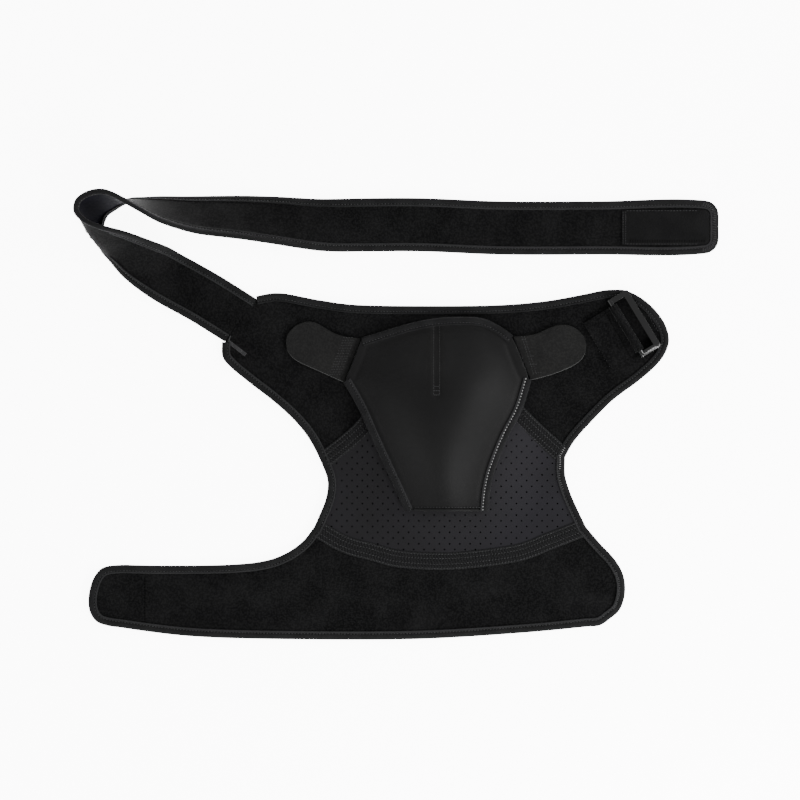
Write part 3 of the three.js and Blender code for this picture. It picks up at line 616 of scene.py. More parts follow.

# %% [markdown]
# ## Binding, tape and thread
# The binding is a woven tape folded over the edge. Its inner border, past the stitches, is pulled up into
# a ridge, and a painted highlight makes that ridge paler. Its own map gives the distance from the fold, so
# the ridge, the valley and the weave follow every curve of it.

# %% Binding, seam tape, thread and buckle plastic
def binding(name, ridge_highlight):
    material, shader, wire = new_finish(name, 0.85, 0.03, 0.02, 0.4)
    run, inset = wire.node("ShaderNodeUVMap", {"uv_map": "along"}).split()
    place = wire.own_place()
    fuzz = noise(wire, place, 0.8, 3.0, 0.6)
    worn = noise(wire, place, 14, 3.0)
    weave = run.wave(0.09) * 0.5 + inset.wave(0.08) * 0.5
    # Painted highlight: the ridge band past the stitches is painted paler, as if it caught the light.
    ridge = inset.band(0.61, 0.78, 0.04)
    valley = inset.band(0.5, 0.6, 0.03)
    gaps = run.wave(0.29)
    x, y = place.split()
    # Painted shade: over a stretch of the strap's upper run, most of the ridge's painted highlight is taken
    # away.
    highlight_dimmed = y.part(0.14, 0.18) * (1 - x.part(-0.1, 0.05)) * x.part(-0.27, -0.22)
    ridge = ridge * ridge_highlight * (1 - highlight_dimmed * 0.85)
    tone = 0.03 + worn.part(0.3, 0.7) * 0.08 + weave * 0.04 + fuzz * 0.15 + ridge - valley * gaps * 0.15
    colour = tone.colour((0.003, 0.003, 0.0031), (0.03, 0.03, 0.031))
    finish(shader, wire, colour, weave * 0.5 + fuzz * 0.5 - valley * gaps, 0.25, 0.5)
    return material


# Two copies of one binding: one with a painted highlight on its ridge, one with almost none.
BINDING = binding("binding", 0.24)
FAINT_HIGHLIGHT_BINDING = binding("faint_highlight_binding", 0.02)


def seam_tape():
    material, shader, wire = new_finish("seam_tape", 0.9, 0.03, 0.02, 0.4)
    run, inset = wire.node("ShaderNodeUVMap", {"uv_map": "along"}).split()
    place = wire.own_place()
    fuzz = noise(wire, place, 1.1, 3.0, 0.7)
    zigzag = (run + inset.wave(0.42) * 0.12).wave(0.28)
    # Painted highlight: the raised rolls at both borders of the tape are painted paler.
    border = inset.math("ABSOLUTE", inset).band(0.64, 0.78, 0.03)
    tone = zigzag * 0.4 + fuzz.part(0.3, 0.7) * 0.6 + border * 0.5
    colour = tone.colour((0.0015, 0.0015, 0.0016), (0.0110, 0.0110, 0.0113))
    finish(shader, wire, colour, zigzag * 0.6 + fuzz * 0.4, 0.4, 0.7)
    return material


SEAM_TAPE = seam_tape()


def plain_finish(name, dark, light, rough, specular, size, depth):
    material, shader, wire = new_finish(name, rough, specular)
    place = wire.own_place()
    fine, cloudy = noise(wire, place, size, 2.0), noise(wire, place, size * 25, 2.0)
    tone = fine.part(0.3, 0.7) * 0.5 + cloudy.part(0.3, 0.7) * 0.5
    finish(shader, wire, tone.colour(dark, light), fine, depth, 0.4, rough - 0.05 + cloudy * 0.1)
    return material


THREAD = plain_finish("thread", (0.013, 0.013, 0.0135), (0.027, 0.027, 0.028), 0.6, 0.15, 0.3, 0.05)
DARK_THREAD = plain_finish("dark_thread", (0.001,) * 3, (0.002,) * 3, 0.8, 0.02, 0.3, 0.05)
PALE_THREAD = plain_finish("pale_thread", (0.07,) * 3, (0.16,) * 3, 0.6, 0.2, 0.3, 0.05)
PLASTIC = plain_finish(
    "buckle_plastic", (0.0012, 0.0012, 0.0013), (0.0020, 0.0020, 0.0021), 0.2, 0.3, 0.5, 0.03
)
print("finishes:", len(bpy.data.materials))

# %% [markdown]
# ## Putting a piece in place
# Each finished piece gets its material, rides on a body of the frame, and hides the solid that it replaces.

# %% Dress a piece
def dress(piece, material, slot, *replaced, body="root"):
    if not any(piece.data.materials):
        piece.data.materials.clear()
        piece.data.materials.append(material)
    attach(piece, body)
    if replaced:
        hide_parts(*replaced)
    return piece


# %% [markdown]
# ## The three body panels
# The yoke is velour with the rise of the shoulder in it, and the arm band is flat velour. The panel
# between them is perforated, so it is laid again as one even grid of cloth that takes the holes.

# %% Yoke and arm band
soften(panels["upper_panel"], 2)
dress(panels["upper_panel"], VELOUR, "velour", "upper_panel")
dress(panels["arm_panel"], VELOUR, "velour", "arm_panel")
smooth(panels["arm_panel"])

# %% [markdown]
# ## The domed panel
# Four sides bound it: the shoulder seam, the arm seam and two bound edges. A patch blended between four
# sides keeps the rows of the cloth in line with them, which a plain fill would not.

# %% Lay the domed panel between its four sides
DOME_RISE, DOME_HALF_WIDTH, DOME_HALF_HEIGHT = 16 * MM, 0.1071, 0.119
DOME_X, DOME_Y, CLOTH_UNDERSIDE = 0.045741, -0.018513, 0.001336
CLOTH = 3 * MM


def dome_height(x, y):
    distance = ((x - DOME_X) / DOME_HALF_WIDTH) ** 2 + ((y - DOME_Y) / DOME_HALF_HEIGHT) ** 2
    return CLOTH_UNDERSIDE + CLOTH + DOME_RISE * (1 - np.minimum(1, distance)) ** 2


def four_sides(line):
    plan = line[:, :2]
    before, after = plan - np.roll(plan, 1, axis=0), np.roll(plan, -1, axis=0) - plan
    turn = np.arctan2(
        before[:, 0] * after[:, 1] - before[:, 1] * after[:, 0], np.sum(before * after, axis=1)
    )
    corners = sorted(np.argsort(-np.abs(turn))[:4])
    closed = np.vstack([plan, plan])
    ends = [*corners[1:], corners[0] + len(plan)]
    return [closed[a : b + 1] for a, b in zip(corners, ends)]


def evenly(side, count):
    length = length_along(side)
    where = np.linspace(0, length[-1], count + 1)
    return np.stack([np.interp(where, length, side[:, k]) for k in range(2)], axis=1)


sides = four_sides(edge_lines["centre_panel"])
print("sides of the domed panel:", [len(side) for side in sides])
ROWS, COLUMNS = 44, 60
if length_along(sides[0])[-1] < length_along(sides[1])[-1]:
    sides = sides[1:] + sides[:1]
low, right, high, left = (evenly(s, n) for s, n in zip(sides, (COLUMNS, ROWS, COLUMNS, ROWS)))
high, left = high[::-1], left[::-1]
u, v = np.meshgrid(np.linspace(0, 1, COLUMNS + 1), np.linspace(0, 1, ROWS + 1))
u, v = u[..., None], v[..., None]
grid = (1 - v) * low[None] + v * high[None] + (1 - u) * left[:, None] + u * right[:, None]
grid -= (1 - u) * (1 - v) * low[0] + u * (1 - v) * low[-1] + (1 - u) * v * high[0] + u * v * high[-1]
bpy.data.objects.remove(panels["centre_panel"])
domed = added(bpy.ops.mesh.primitive_grid_add, x_subdivisions=COLUMNS, y_subdivisions=ROWS, size=1)
domed.name = domed.data.name = "centre_panel_cloth"
flat = grid.reshape(-1, 2)
for vert, (x, y) in zip(domed.data.vertices, flat):
    vert.co = (x, y, float(dome_height(x, y)))
pick(domed)
bpy.ops.object.transform_apply(location=True, rotation=True, scale=True)
turn_outward(domed)
if sum(face.normal.z for face in domed.data.polygons) < 0:
    edit(domed)
    bpy.ops.mesh.flip_normals()
    leave_edit()
apply(domed, "SOLIDIFY", thickness=CLOTH, offset=-1)
print("domed panel:", len(domed.data.polygons), "faces")

# %% [markdown]
# ## Its holes
# The holes stand in columns, each second column half a step lower, and keep clear of the border. One
# short cylinder is repeated at all of them and cut out of the cloth at once.

# %% Punch the holes
HOLE_DIAMETER, HOLE_COLUMN, HOLE_ROW, HOLE_MARGIN = 1.6 * MM, 4.8 * MM, 10.75 * MM, 8.5 * MM
HOLE_DEPTH, LOWEST_HOLE = 2.5 * MM, -0.137513
HALF_COLUMNS, HOLE_ROWS = 46, 23
punch = added(
    bpy.ops.mesh.primitive_cylinder_add, vertices=10, radius=HOLE_DIAMETER / 2, depth=HOLE_DEPTH * 2
)
punch_corners, punch_faces = shape_of(punch)
border = np.vstack([low, right, high[::-1], left[::-1]])


def inside_border(x, y):
    a, b = border, np.roll(border, -1, axis=0)
    crosses = (a[:, 1] > y) != (b[:, 1] > y)
    with np.errstate(divide="ignore", invalid="ignore"):
        at = (b[:, 0] - a[:, 0]) * (y - a[:, 1]) / (b[:, 1] - a[:, 1]) + a[:, 0]
    return np.count_nonzero(crosses & (x < at)) % 2 == 1


def gap_to_border(x, y):
    a, b = border, np.roll(border, -1, axis=0)
    way = b - a
    spot = np.array([x, y])
    share = np.clip(np.sum((spot - a) * way, axis=1) / (np.sum(way * way, axis=1) + 1e-12), 0, 1)
    return float(np.min(np.linalg.norm(a + way * share[:, None] - spot, axis=1)))


holes = []
for i in range(-HALF_COLUMNS, HALF_COLUMNS + 1):
    for j in range(HOLE_ROWS):
        x = DOME_X + i * HOLE_COLUMN
        y = LOWEST_HOLE + (j + (0.5 if i % 2 else 0.0)) * HOLE_ROW
        if inside_border(x, y) and gap_to_border(x, y) > HOLE_MARGIN:
            holes.append((x, y, float(dome_height(x, y))))
punches = many_of("punches", [punch_corners + np.array(hole) for hole in holes], punch_faces)
for piece in (domed, punches):
    piece.data.materials.append(PERFORATED)
    piece.data.materials.append(HOLE_WALL)
for face in punches.data.polygons:
    face.material_index = 1
apply(domed, "BOOLEAN", object=punches, operation="DIFFERENCE", solver="MANIFOLD")
bpy.data.objects.remove(punches)
smooth(domed, 30)
dress(domed, PERFORATED, "perforated_neoprene", "centre_panel")
print("holes punched:", len(holes), "faces now:", len(domed.data.polygons))

# %% [markdown]
# ## Edge binding
# The folded tape is fat at the fold, nips in under its stitches and ends in a raised ridge. That section
# is swept along each run of edge, and a row of stitches lies in its valley.

# %% Bind the body, in its four runs
EDGE_INSET, STITCH_INSET = 1.3 * MM, 5.55
BINDING_SECTION = [
    (7.6, -2.8), (4.8, -2.8), (2.0, -2.75), (0.6, -2.15), (0.0, -0.9), (0.0, 0.9), (0.55, 2.15),
    (1.7, 2.75), (3.2, 2.95), (4.5, 2.75), (5.2, 2.25), (5.9, 2.2), (6.5, 2.75), (7.2, 2.95),
    (7.9, 2.6), (8.0, 1.9), (7.6, 1.7), (4.5, 1.75), (1.0, 1.7), (1.0, -1.7), (7.6, -1.7),
]
BODY_RUNS = {
    "top_binding": ["upper_panel"],
    "left_binding": ["centre_panel", "upper_panel"],
    "right_binding": ["centre_panel"],
    "arm_binding": ["arm_panel"],
}
stitches, frames_of = [], {}
cloth_of = {"upper_panel": panels["upper_panel"], "centre_panel": domed, "arm_panel": panels["arm_panel"]}
for node, sheets in BODY_RUNS.items():
    run = covered_line(node, [edge_lines[name] for name in sheets])
    frames = frames_along(longer(run, 0.9 * MM, 0.9 * MM))
    frames_of[node] = lie_on(frames, *[cloth_of[name] for name in sheets])
    piece = sweep(node + "_tape", frames_of[node], BINDING_SECTION, EDGE_INSET)
    # The top binding gets the copy with almost no painted highlight on its ridge.
    dress(piece, FAINT_HIGHLIGHT_BINDING if node == "top_binding" else BINDING, "binding", node)
    stitches += row_on_frames(frames_of[node], STITCH_INSET, 2.35, lean=EDGE_INSET)
    print(node, "runs over", len(run), "corners")
dress(sew("binding_stitches", stitches), THREAD, "binding")

# %% [markdown]
# ## Seam tape
# Where two panels meet, a flat tape covers the join and is sewn down in four close rows. It follows the
# line that the panels share.

# %% Cover both seams
TAPE_SECTION = [
    (-8.0, 0.0), (-8.0, 0.5), (-7.2, 0.95), (-6.4, 0.7), (-5.4, 1.05), (-3.6, 1.05),
    (-2.6, 0.75), (-1.6, 1.05), (1.6, 1.05), (2.6, 0.75),
    (3.6, 1.05), (5.4, 1.05), (6.4, 0.7), (7.2, 0.95), (8.0, 0.5), (8.0, 0.0),
]


def shared_line(first, second):
    a, b = edge_lines[first], edge_lines[second]
    steps = np.roll(b, -1, axis=0) - b
    tree = tree_of([(point + step * k / 10)[:3] for point, step in zip(b, steps) for k in range(10)])
    return max(near_stretches(a, lambda point: tree.find(point)[2] < 1.2 * MM), key=len)


def trim_ends(line, cut):
    line = smooth_line(line, 2 * MM)
    length = length_along(line[:, :3])
    return line[(length > cut) & (length < length[-1] - cut)]


tape_rows = []
for name, first, second in (
    ("shoulder_seam_tape", "upper_panel", "centre_panel"),
    ("arm_seam_tape", "centre_panel", "arm_panel"),
):
    line = trim_ends(shared_line(first, second), 3.0 * MM)
    line[:, 2] = dome_height(line[:, 0], line[:, 1]) + 0.15 * MM
    frames_of[name] = frames_along(line)
    dress(sweep(name + "_strip", frames_of[name], TAPE_SECTION), SEAM_TAPE, "binding", name)
    for across in (-6.4, -2.6, 2.6, 6.4):
        tape_rows += row_on_frames(frames_of[name], across, 0.95)
    print(name, "is", round(float(len(line) * 2)), "mm long")
dress(sew("seam_stitches", tape_rows, length=2.0), THREAD, "binding")

# %% [markdown]
# ## The pad
# A smooth pocket flap over the shoulder, open at its lower edge. It is crowned, with a dart down from its
# top that draws the foam in. A fine copy of the solid is rounded first, and the dart and the sewn line
# round its border are pressed into it afterwards, because rounding would wash them out.

# %% Round the pad and press the dart into it
pad = copy_of("pad", "pad_cloth")
edge_lines["pad"] = edge_line(pad)
soften(pad, 2, 0.9)
DART_X, DART_LOW, DART_HIGH = 0.0383, 0.0177, 0.0850
DART_WIDTH, DART_FADE, DART_DEPTH = 3.6 * MM, 4 * MM, 1.1 * MM
SEAM_GAP, SEAM_WIDTH, SEAM_DEPTH = 2.8 * MM, 0.9 * MM, 0.35 * MM
SEWN_GAP, SEWN_WIDTH, SEWN_DEPTH = 8.5 * MM, 1.8 * MM, 0.5 * MM
MOUTH_Y, OPEN_BELOW_Y, SEWN_BELOW_Y, RIM_WIDTH = -0.0855, -0.070, 0.080, 9 * MM
pad_border = edge_lines["pad"][:, :2]
closed_border = np.vstack([pad_border, pad_border[:1]])
dense = smooth_line(np.hstack([closed_border, np.zeros((len(closed_border), 4))]), 1 * MM)
border_tree = tree_of([(point[0], point[1], 0) for point in dense])
edit(pad)
bpy.ops.mesh.select_all(action="DESELECT")
leave_edit()
for vert in pad.data.vertices:
    spot, _, gap = border_tree.find((vert.co.x, vert.co.y, 0))
    vert.select = gap > RIM_WIDTH or (spot.y < MOUTH_Y and vert.co.y < OPEN_BELOW_Y)
pick(pad)
bpy.ops.object.mode_set(mode="EDIT")
bpy.ops.mesh.vertices_smooth(factor=0.5, repeat=90, xaxis=False, yaxis=False)
leave_edit()
apply(pad, "SUBSURF", levels=1, render_levels=1)
smooth(pad)
for vert in pad.data.vertices:
    x, y, z = vert.co
    reach = max(0.0, DART_LOW - y, y - DART_HIGH - 10 * MM)
    dart = math.exp(-((x - DART_X) / DART_WIDTH) ** 2) * math.exp(-(reach / DART_FADE) ** 2)
    seam = math.exp(-((abs(x - DART_X) - SEAM_GAP) / SEAM_WIDTH) ** 2) * (1 if reach == 0 else 0)
    spot, _, gap = border_tree.find((x, y, 0))
    is_sewn = spot.y >= MOUTH_Y and y <= SEWN_BELOW_Y
    sewn = math.exp(-((gap - SEWN_GAP) / SEWN_WIDTH) ** 2) if is_sewn else 0.0
    vert.co.z = z - DART_DEPTH * dart - SEAM_DEPTH * seam - SEWN_DEPTH * sewn
dress(pad, PAD_FACE, "smooth_neoprene", "pad")
print("pad:", len(pad.data.polygons), "faces")

# %% [markdown]
# ## Round the pad
# Its binding is the same folded tape, a little thinner. The stitches at its right catch the light, so they
# get a paler thread.

# %% Bind and stitch the pad
pad_rows = []
for node in ("pad_binding_left", "pad_binding_top", "pad_binding_right"):
    run = covered_line(node, [edge_lines["pad"]])
    frames_of[node] = lie_on(frames_along(run), pad)
    tape = sweep(node + "_tape", frames_of[node], BINDING_SECTION, EDGE_INSET, 0.85)
    # The top binding of the pad gets the copy with almost no painted highlight on its ridge.
    dress(tape, FAINT_HIGHLIGHT_BINDING if node == "pad_binding_top" else BINDING, "binding", node)
    row = row_on_frames(frames_of[node], STITCH_INSET, 2.0, lean=EDGE_INSET)
    if node == "pad_binding_right":
        dress(sew("pad_bright_stitches", row, length=1.8, width=1.3), PALE_THREAD, "binding")
    else:
        pad_rows += row
    print(node, "runs over", len(run), "corners")
dart_rows = []
for x in (DART_X - SEAM_GAP, DART_X + SEAM_GAP):
    dart_rows += row_on_surface(pad, [(x, DART_LOW), (x, DART_HIGH)], 2.6, 0.05)
for y in (DART_LOW, DART_LOW + 4 * MM, DART_LOW + 8 * MM):
    dart_rows += row_on_surface(pad, [(DART_X - 3 * MM, y), (DART_X + 3 * MM, y)], 2.0, 0.05)
dress(sew("pad_stitches", pad_rows + dart_rows), THREAD, "binding")

# %% [markdown]
# ## The mouth of the pad
# The lower edge of the pad is not bound. It is turned under and shows as one narrow roll, with a row of
# stitches, over the dark gap of the pocket.

# %% Roll the lower edge of the pad
HEM_BELOW_Y = -0.086
is_mouth = lambda point: point[1] < HEM_BELOW_Y
mouth = max(near_stretches(edge_lines["pad"], is_mouth), key=len)
mouth_line = trim_ends(mouth, 6 * MM)
for point in mouth_line:
    upper = pad.ray_cast(Vector((point[0], point[1] + 1 * MM, 0.2)), Vector((0, 0, -1)))
    lower = pad.ray_cast(Vector((point[0], point[1] + 1 * MM, -0.2)), Vector((0, 0, 1)))
    if upper[0] and lower[0]:
        point[2] = (upper[1].z + lower[1].z) / 2
frames_of["mouth"] = frames_along(mouth_line)
HEM_SECTION = [(-0.4, -1.2), (-0.4, 1.2), (0.2, 1.75), (1.2, 1.95), (2.2, 1.7), (2.6, 1.2), (2.4, -1.2)]
dress(sweep("pad_hem", frames_of["mouth"], HEM_SECTION), PAD_FACE, "smooth_neoprene")
hem_row = row_on_frames(frames_of["mouth"], 3.4, 1.55)
dress(sew("pad_hem_stitches", hem_row), THREAD, "smooth_neoprene")
print("mouth of the pad:", len(mouth), "corners")

# %% [markdown]
# ## Hook tabs
# Two soft rounded tongues at the upper corners of the pad. They are cut from brushed cloth, paler than
# everything else, and sewn down in close rows beside the pad. The table gives the line of each seam from
# its top to its foot, the way the rows run from it and how many they are.

# %% Round the hook tabs and sew them
SEAMS = {
    "hook_tab_left": ((-0.0344, 0.0790), (-0.0520, 0.0340), -1, 17),
    "hook_tab_right": ((0.1140, 0.0800), (0.1280, 0.0360), 1, 6),
}
tabs, tab_rows = [], []
for node, (top, foot, outward, rows) in SEAMS.items():
    tab = copy_of(node, node + "_cloth")
    soften(tab, 3, 0.5)
    tab.data.materials.append(TAB_CLOTH)
    tab.data.materials.append(TAB_EDGE_HIGHLIGHT)
    # Painted highlight: only the sides that face towards -y, where the small lamps stand, get the paler
    # edge cloth.
    for face in tab.data.polygons:
        if face.normal.y < -0.25 and face.normal.z > -0.2:
            face.material_index = 1
    dress(tab, TAB_CLOTH, "tab_cloth", node)
    tabs.append(tab)
    top, foot = np.array(top), np.array(foot)
    for share in np.linspace(0.06, 0.94, rows):
        start = top * (1 - share) + foot * share
        reach = (13.0 if outward < 0 else 9.0 * share + 1.5) * MM
        tab_rows += row_on_surface(tab, [start, start + (outward * reach, 0.0)], 2.4, 0.05)
    if outward > 0:
        for step in (1.5 * MM, 4.0 * MM):
            tab_rows += row_on_surface(tab, [top + (step, 0), foot + (step, 0)], 2.4, 0.05)
dress(sew("tab_stitches", tab_rows, length=1.9, width=0.5), THREAD, "tab_cloth")

# %% [markdown]
# ## The chest strap
# One long ribbon: it leaves the yoke, rises on its edge, turns over at the left and comes back flat along
# the top. Its face is velour and its back a smooth lining, so the faces of each side get their own finish
# before the ribbon is rounded.

# %% Round the strap and give it two faces
strap = copy_of("chest_strap", "chest_strap_cloth")
edge_lines["chest_strap"] = edge_line(strap)
strap.data.materials.append(VELOUR)
strap.data.materials.append(LINING)
mesh = bmesh.new()
mesh.from_mesh(strap.data)
mesh.faces.ensure_lookup_table()
face_side, back_side = ({face.index for face in side} for side in broad_sides(mesh))
mesh.free()
for face in strap.data.polygons:
    face.material_index = 0 if face.index in face_side else 1
yoke = surface_of(panels["upper_panel"].data)
for vert in strap.data.vertices:
    spot, _, _, gap = yoke.find_nearest(vert.co)
    if gap < 2.0 * MM:
        vert.co = spot + (spot - vert.co).normalized() * 0.3 * MM
soften(strap, 2)
print("strap:", len(strap.data.polygons), "faces, of which lining:", len(back_side))

# %% [markdown]
# ## Round the strap
# The tape follows both edges and the round end, and pulls in a little where the strap bends. The strap
# shows both of its sides, so there is a row of stitches above the tape and one below.

# %% Bind the strap
BEND_PLACE, BEND_REACH, BEND_NARROWING = (-0.287, 0.193), 30 * MM, 0.4
run = covered_line("strap_binding", [edge_lines["chest_strap"]])
place, along, up, inward = lie_on(frames_along(longer(run, 1.6 * MM, 1.6 * MM)), strap)
bend = np.exp(-((np.linalg.norm(place[:, :2] - BEND_PLACE, axis=1) / BEND_REACH) ** 2))
frames_of["strap_binding"] = (place, along, up, inward * (1 - BEND_NARROWING * bend)[:, None])
strap_tape = sweep("strap_binding_tape", frames_of["strap_binding"], BINDING_SECTION, EDGE_INSET, 0.8)
dress(strap_tape, BINDING, "binding", "strap_binding")
strap_rows = []
for height in (1.9, -2.25):
    strap_rows += row_on_frames(frames_of["strap_binding"], STITCH_INSET, height, lean=EDGE_INSET)
strap_stitches = dress(sew("strap_stitches", strap_rows), THREAD, "binding")
print("strap binding runs over", len(run), "corners")

# %% [markdown]
# ## The belly of the strap
# A strap that stands on its edge doesn't stay flat: it bows outward between its two bindings. The rows of
# the ribbon near the bend are pushed out towards the velour side, most in the middle of the width.

# %% Bow the strap where it rises
BELLY_PLACE, BELLY_WAY = Vector((-0.2825, 0.1680)), Vector((-0.78, -0.63, 0.0))
EDGE_PLACE, EDGE_REACH, EDGE_DEPTH = Vector((-0.2744, 0.1557)), 11 * MM, 3.5 * MM
BELLY_REACH, BELLY_DEPTH, HALF_STRAP = 21 * MM, 8.3 * MM, 23.7 * MM
binding_tree = tree_of(frames_of["strap_binding"][0])
for vert in strap.data.vertices:
    share = min(1.0, binding_tree.find(vert.co)[2] / HALF_STRAP)
    near = math.exp(-(((vert.co.xy - BELLY_PLACE).length / BELLY_REACH) ** 2))
    vert.co += BELLY_WAY * (BELLY_DEPTH * near * (1 - (1 - share) ** 2))
for piece in (strap, strap_tape, strap_stitches):
    for vert in piece.data.vertices:
        near = math.exp(-(((vert.co.xy - EDGE_PLACE).length / EDGE_REACH) ** 2))
        vert.co += BELLY_WAY * (EDGE_DEPTH * near)
dress(strap, VELOUR, "velour", "chest_strap")

# %% [markdown]
# ## Hook patches
# A smooth patch of hook tape is sewn on the free end of the strap, and another under the end of the arm
# band. Of the second, only its line of stitches shows from above.

# %% Hook patches and their stitches
def hook_patch(node, rounding):
    patch = copy_of(node, node + "_cloth")
    apply(patch, "BEVEL", width=rounding, segments=2)
    smooth(patch)
    return dress(patch, HOOK_CLOTH, "hook_cloth", node)


patch = hook_patch("strap_hook_patch", 0.3 * MM)
low_corner, high_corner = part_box("strap_hook_patch")
low_y, high_y = low_corner.y, high_corner.y
patch_rows = []
for inset in (1.2 * MM, 3.6 * MM):
    x = low_corner.x + inset
    patch_rows += row_on_surface(patch, [(x, low_y + 1 * MM), (x, high_y - 1 * MM)], 2.2, 0.05)
dress(sew("strap_patch_stitches", patch_rows, length=1.7, width=0.5), THREAD, "hook_cloth")
edge_rows = []
for y in (low_y + 1.2 * MM, high_y - 1.2 * MM):
    ends = [(low_corner.x + 4 * MM, y), (high_corner.x - 12 * MM, y)]
    edge_rows += row_on_surface(patch, ends, 2.9, 0.05)
dress(sew("strap_patch_edge_stitches", edge_rows), THREAD, "hook_cloth")
dashes = []
for x in np.arange(low_corner.x + 8 * MM, high_corner.x - 4 * MM, 2.3 * MM):
    dashes += row_on_surface(patch, [(x, low_y + 2.4 * MM), (x, low_y + 5.2 * MM)], 2.8, 0.05)
dress(sew("strap_patch_dashes", dashes, length=3.0, width=0.8), DARK_THREAD, "hook_cloth")
place, along, up, inward = frames_of["strap_binding"]
end_rows = []
for p, a, u, i in zip(place, along, up, inward):
    if p[0] > high_corner.x - 6 * MM:
        end_rows.append((p + i * (4.0 * MM - EDGE_INSET) + u * 2.3 * MM, i + a * 0.3, u))
dress(sew("strap_end_stitches", end_rows, length=4.4, width=0.9), THREAD, "binding")
hook_patch("arm_hook_patch", 0.2 * MM)
ARM_PATCH_LINE = [(-0.2343, -0.1525), (-0.2343, -0.1946)]
arm_row = row_on_surface(panels["arm_panel"], ARM_PATCH_LINE, 2.7, 0.05)
dress(sew("arm_patch_stitches", arm_row, width=1.2), DARK_THREAD, "velour")

# %% [markdown]
# ## The buckle and its tab
# A flat moulded ring that turns in a loop of velour. The ring keeps its measured solid and gets rounded
# edges, because it is the one hard piece and a moulding never has a knife edge. Its lower short bar is cut
# across and slanted outward, so that it catches the light as it does in the photograph.

# %% Round the buckle, and sew its tab
buckle = copy_of("buckle", "buckle_ring")
apply(buckle, "BEVEL", width=1.4 * MM, segments=4, limit_method="ANGLE", angle_limit=math.radians(40))
BAR_WAY, BAR_START, BAR_WIDTH = Vector((0.518, -0.856, 0)), 70.2 * MM, 4 * MM
BAR_MIDDLE_Z, BAR_HALF_HEIGHT, SLANT = 7.8 * MM, 2 * MM, 2 * MM
mesh = bmesh.new()
mesh.from_mesh(buckle.data)
everything = mesh.verts[:] + mesh.edges[:] + mesh.faces[:]
bmesh.ops.bisect_plane(mesh, geom=everything, plane_co=BAR_WAY * BAR_START, plane_no=BAR_WAY)
for vert in mesh.verts:
    outward = min(1.0, max(0.0, (vert.co.dot(BAR_WAY) - BAR_START) / BAR_WIDTH))
    raised = min(1.0, max(0.0, (vert.co.z - BAR_MIDDLE_Z) / BAR_HALF_HEIGHT))
    vert.co.z -= SLANT * outward * raised
mesh.to_mesh(buckle.data)
mesh.free()
smooth(buckle, 50)
dress(buckle, PLASTIC, "buckle_plastic", "buckle", body="buckle")
TAB_LENGTHENING = 0.1
tab = copy_of("buckle_tab", "buckle_tab_cloth")
low_corner, high_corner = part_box("buckle_tab")
middle = (low_corner + high_corner) / 2
for vert in tab.data.vertices:
    vert.co += BAR_WAY * (TAB_LENGTHENING * (vert.co - middle).dot(BAR_WAY))
soften(tab, 2, 1.0, 45)
dress(tab, VELOUR, "velour", "buckle_tab")
TAB_FOLD = [(0.1900, 0.1050), (0.2210, 0.0513)]
fold_row = row_on_surface(tab, TAB_FOLD, 2.3, 0.0)
# The stitches along the fold are real; their near-black thread is painted shade that also stands in for the
# groove they sit in.
dress(sew("buckle_tab_stitches", fold_row, length=2.2, width=1.0), DARK_THREAD, "velour")
WING_TIP_LINES = [(0.2288, 0.1045), (0.2463, 0.0758)], [(0.2338, 0.1045), (0.2500, 0.0800)]
tip_rows = []
for line in WING_TIP_LINES:
    tip_rows += row_on_surface(panels["upper_panel"], line, 2.7, 0.1)
dress(sew("wing_tip_stitches", tip_rows, length=1.8, width=0.8), THREAD, "velour")

# %% [markdown]
# ## Bar tacks
# Where a strap or a binding ends, the machine goes back and forth to lock it. Of these close bars of
# thread, the ones at the corners of the body catch the light and get a paler thread.

# %% Sew the bar tacks
corner_rows, overlap_rows = [], []
TACKED = (
    ("right_binding", 60, 72, 2.0, 4.2), ("top_binding", 0, 10, 2.0, 4.2),
    ("right_binding", 42, 59, 2.0, 5.6), ("arm_binding", 757, 800, 2.0, 5.6),
)
for node, first, last, pitch, across in TACKED:
    place, along, up, inward = frames_of[node]
    length = length_along(place)
    for where in np.arange(first, last, pitch) * MM:
        mix = lambda values: np.array([np.interp(where, length, values[:, k]) for k in range(3)])
        spot = mix(place) + mix(inward) * (across * MM - EDGE_INSET) + mix(up) * 2.7 * MM
        (corner_rows if across < 5 else overlap_rows).append((spot, mix(inward), mix(up)))
dress(sew("corner_tacks", corner_rows, length=2.6, width=1.0), PALE_THREAD, "binding")
dress(sew("overlap_tacks", overlap_rows, length=2.6, width=1.0), THREAD, "binding")
ROOT_LINE = np.array([(-0.1567, 0.0680), (-0.1400, 0.0552)])
ROOT_END_LINE = [(-0.1575, 0.0640), (-0.1545, 0.0725)]
root_rows = []
for step in (-1.2 * MM, 0.0, 1.2 * MM):
    root_rows += row_on_surface(panels["upper_panel"], ROOT_LINE + (step * 0.6, step * 0.8), 1.6, 0.1)
root_rows += row_on_surface(panels["upper_panel"], ROOT_END_LINE, 1.6, 0.1)
dress(sew("strap_root_tack", root_rows, length=2.0, width=1.3), THREAD, "velour")
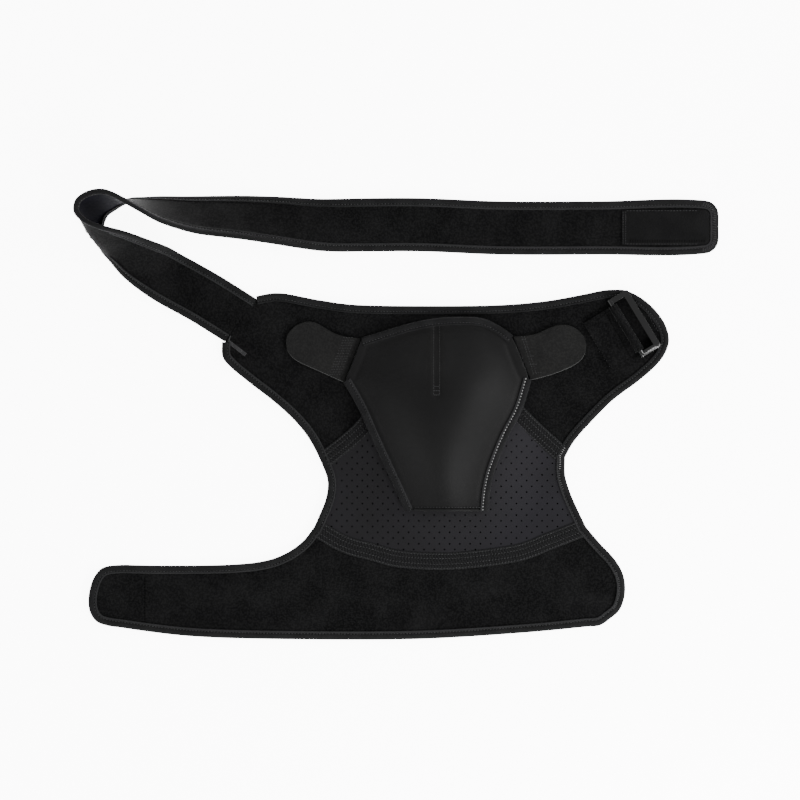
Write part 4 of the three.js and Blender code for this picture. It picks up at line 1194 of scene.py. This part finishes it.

# %% [markdown]

# %% [markdown]
# ## Floor, light and camera
# The photograph is a plain product picture from straight above: soft light from all round, a little
# stronger from the right, and a pale ground. Two small lights at the lower right give the buckle and the
# bindings their bright edges. A long lens keeps the view nearly free of perspective.

# %% Set the stage
floor = added(bpy.ops.mesh.primitive_plane_add, size=12, location=(0, 0, 0))
floor.name = "floor"
floor_material = bpy.data.materials.new("floor")
floor_material.use_nodes = True
floor_shader = floor_material.node_tree.nodes["Principled BSDF"]
floor_shader.inputs["Base Color"].default_value = (0.94, 0.94, 0.94, 1)
floor_shader.inputs["Roughness"].default_value = 0.9
floor_shader.inputs["Emission Color"].default_value = (1, 1, 1, 1)
floor_shader.inputs["Emission Strength"].default_value = 9.0
floor.data.materials.append(floor_material)

world = bpy.data.worlds.new("studio")
bpy.context.scene.world = world
world.use_nodes = True
world.node_tree.nodes["Background"].inputs["Color"].default_value = (1, 1, 1, 1)
world.node_tree.nodes["Background"].inputs["Strength"].default_value = 1.15


def softbox(name, place, size, power):
    light = added(bpy.ops.object.light_add, type="AREA", location=place)
    light.name = name
    light.data.size = size
    light.data.energy = power
    light.rotation_euler = (-Vector(place)).to_track_quat("-Z", "Y").to_euler()


softbox("key_light", (1.9, 0.5, 1.0), 0.9, 60)
softbox("fill_light", (-1.5, -0.9, 0.9), 1.4, 20)
softbox("edge_light", (0.75, -1.04, 0.7), 0.4, 24)
softbox("glint_light", (0.97, -0.90, 0.95), 0.15, 5)

FRAME_WIDTH, FRAME_MIDDLE, CAMERA_HEIGHT, SENSOR = 0.748, (0.00413, 0.01302), 12.0, 36
camera_data = bpy.data.cameras.new("camera")
camera = bpy.data.objects.new("camera", camera_data)
bpy.context.scene.collection.objects.link(camera)
camera.location = (*FRAME_MIDDLE, CAMERA_HEIGHT)
camera_data.sensor_width = SENSOR
camera_data.lens = SENSOR * CAMERA_HEIGHT / FRAME_WIDTH
camera_data.clip_end = 50
bpy.context.scene.camera = camera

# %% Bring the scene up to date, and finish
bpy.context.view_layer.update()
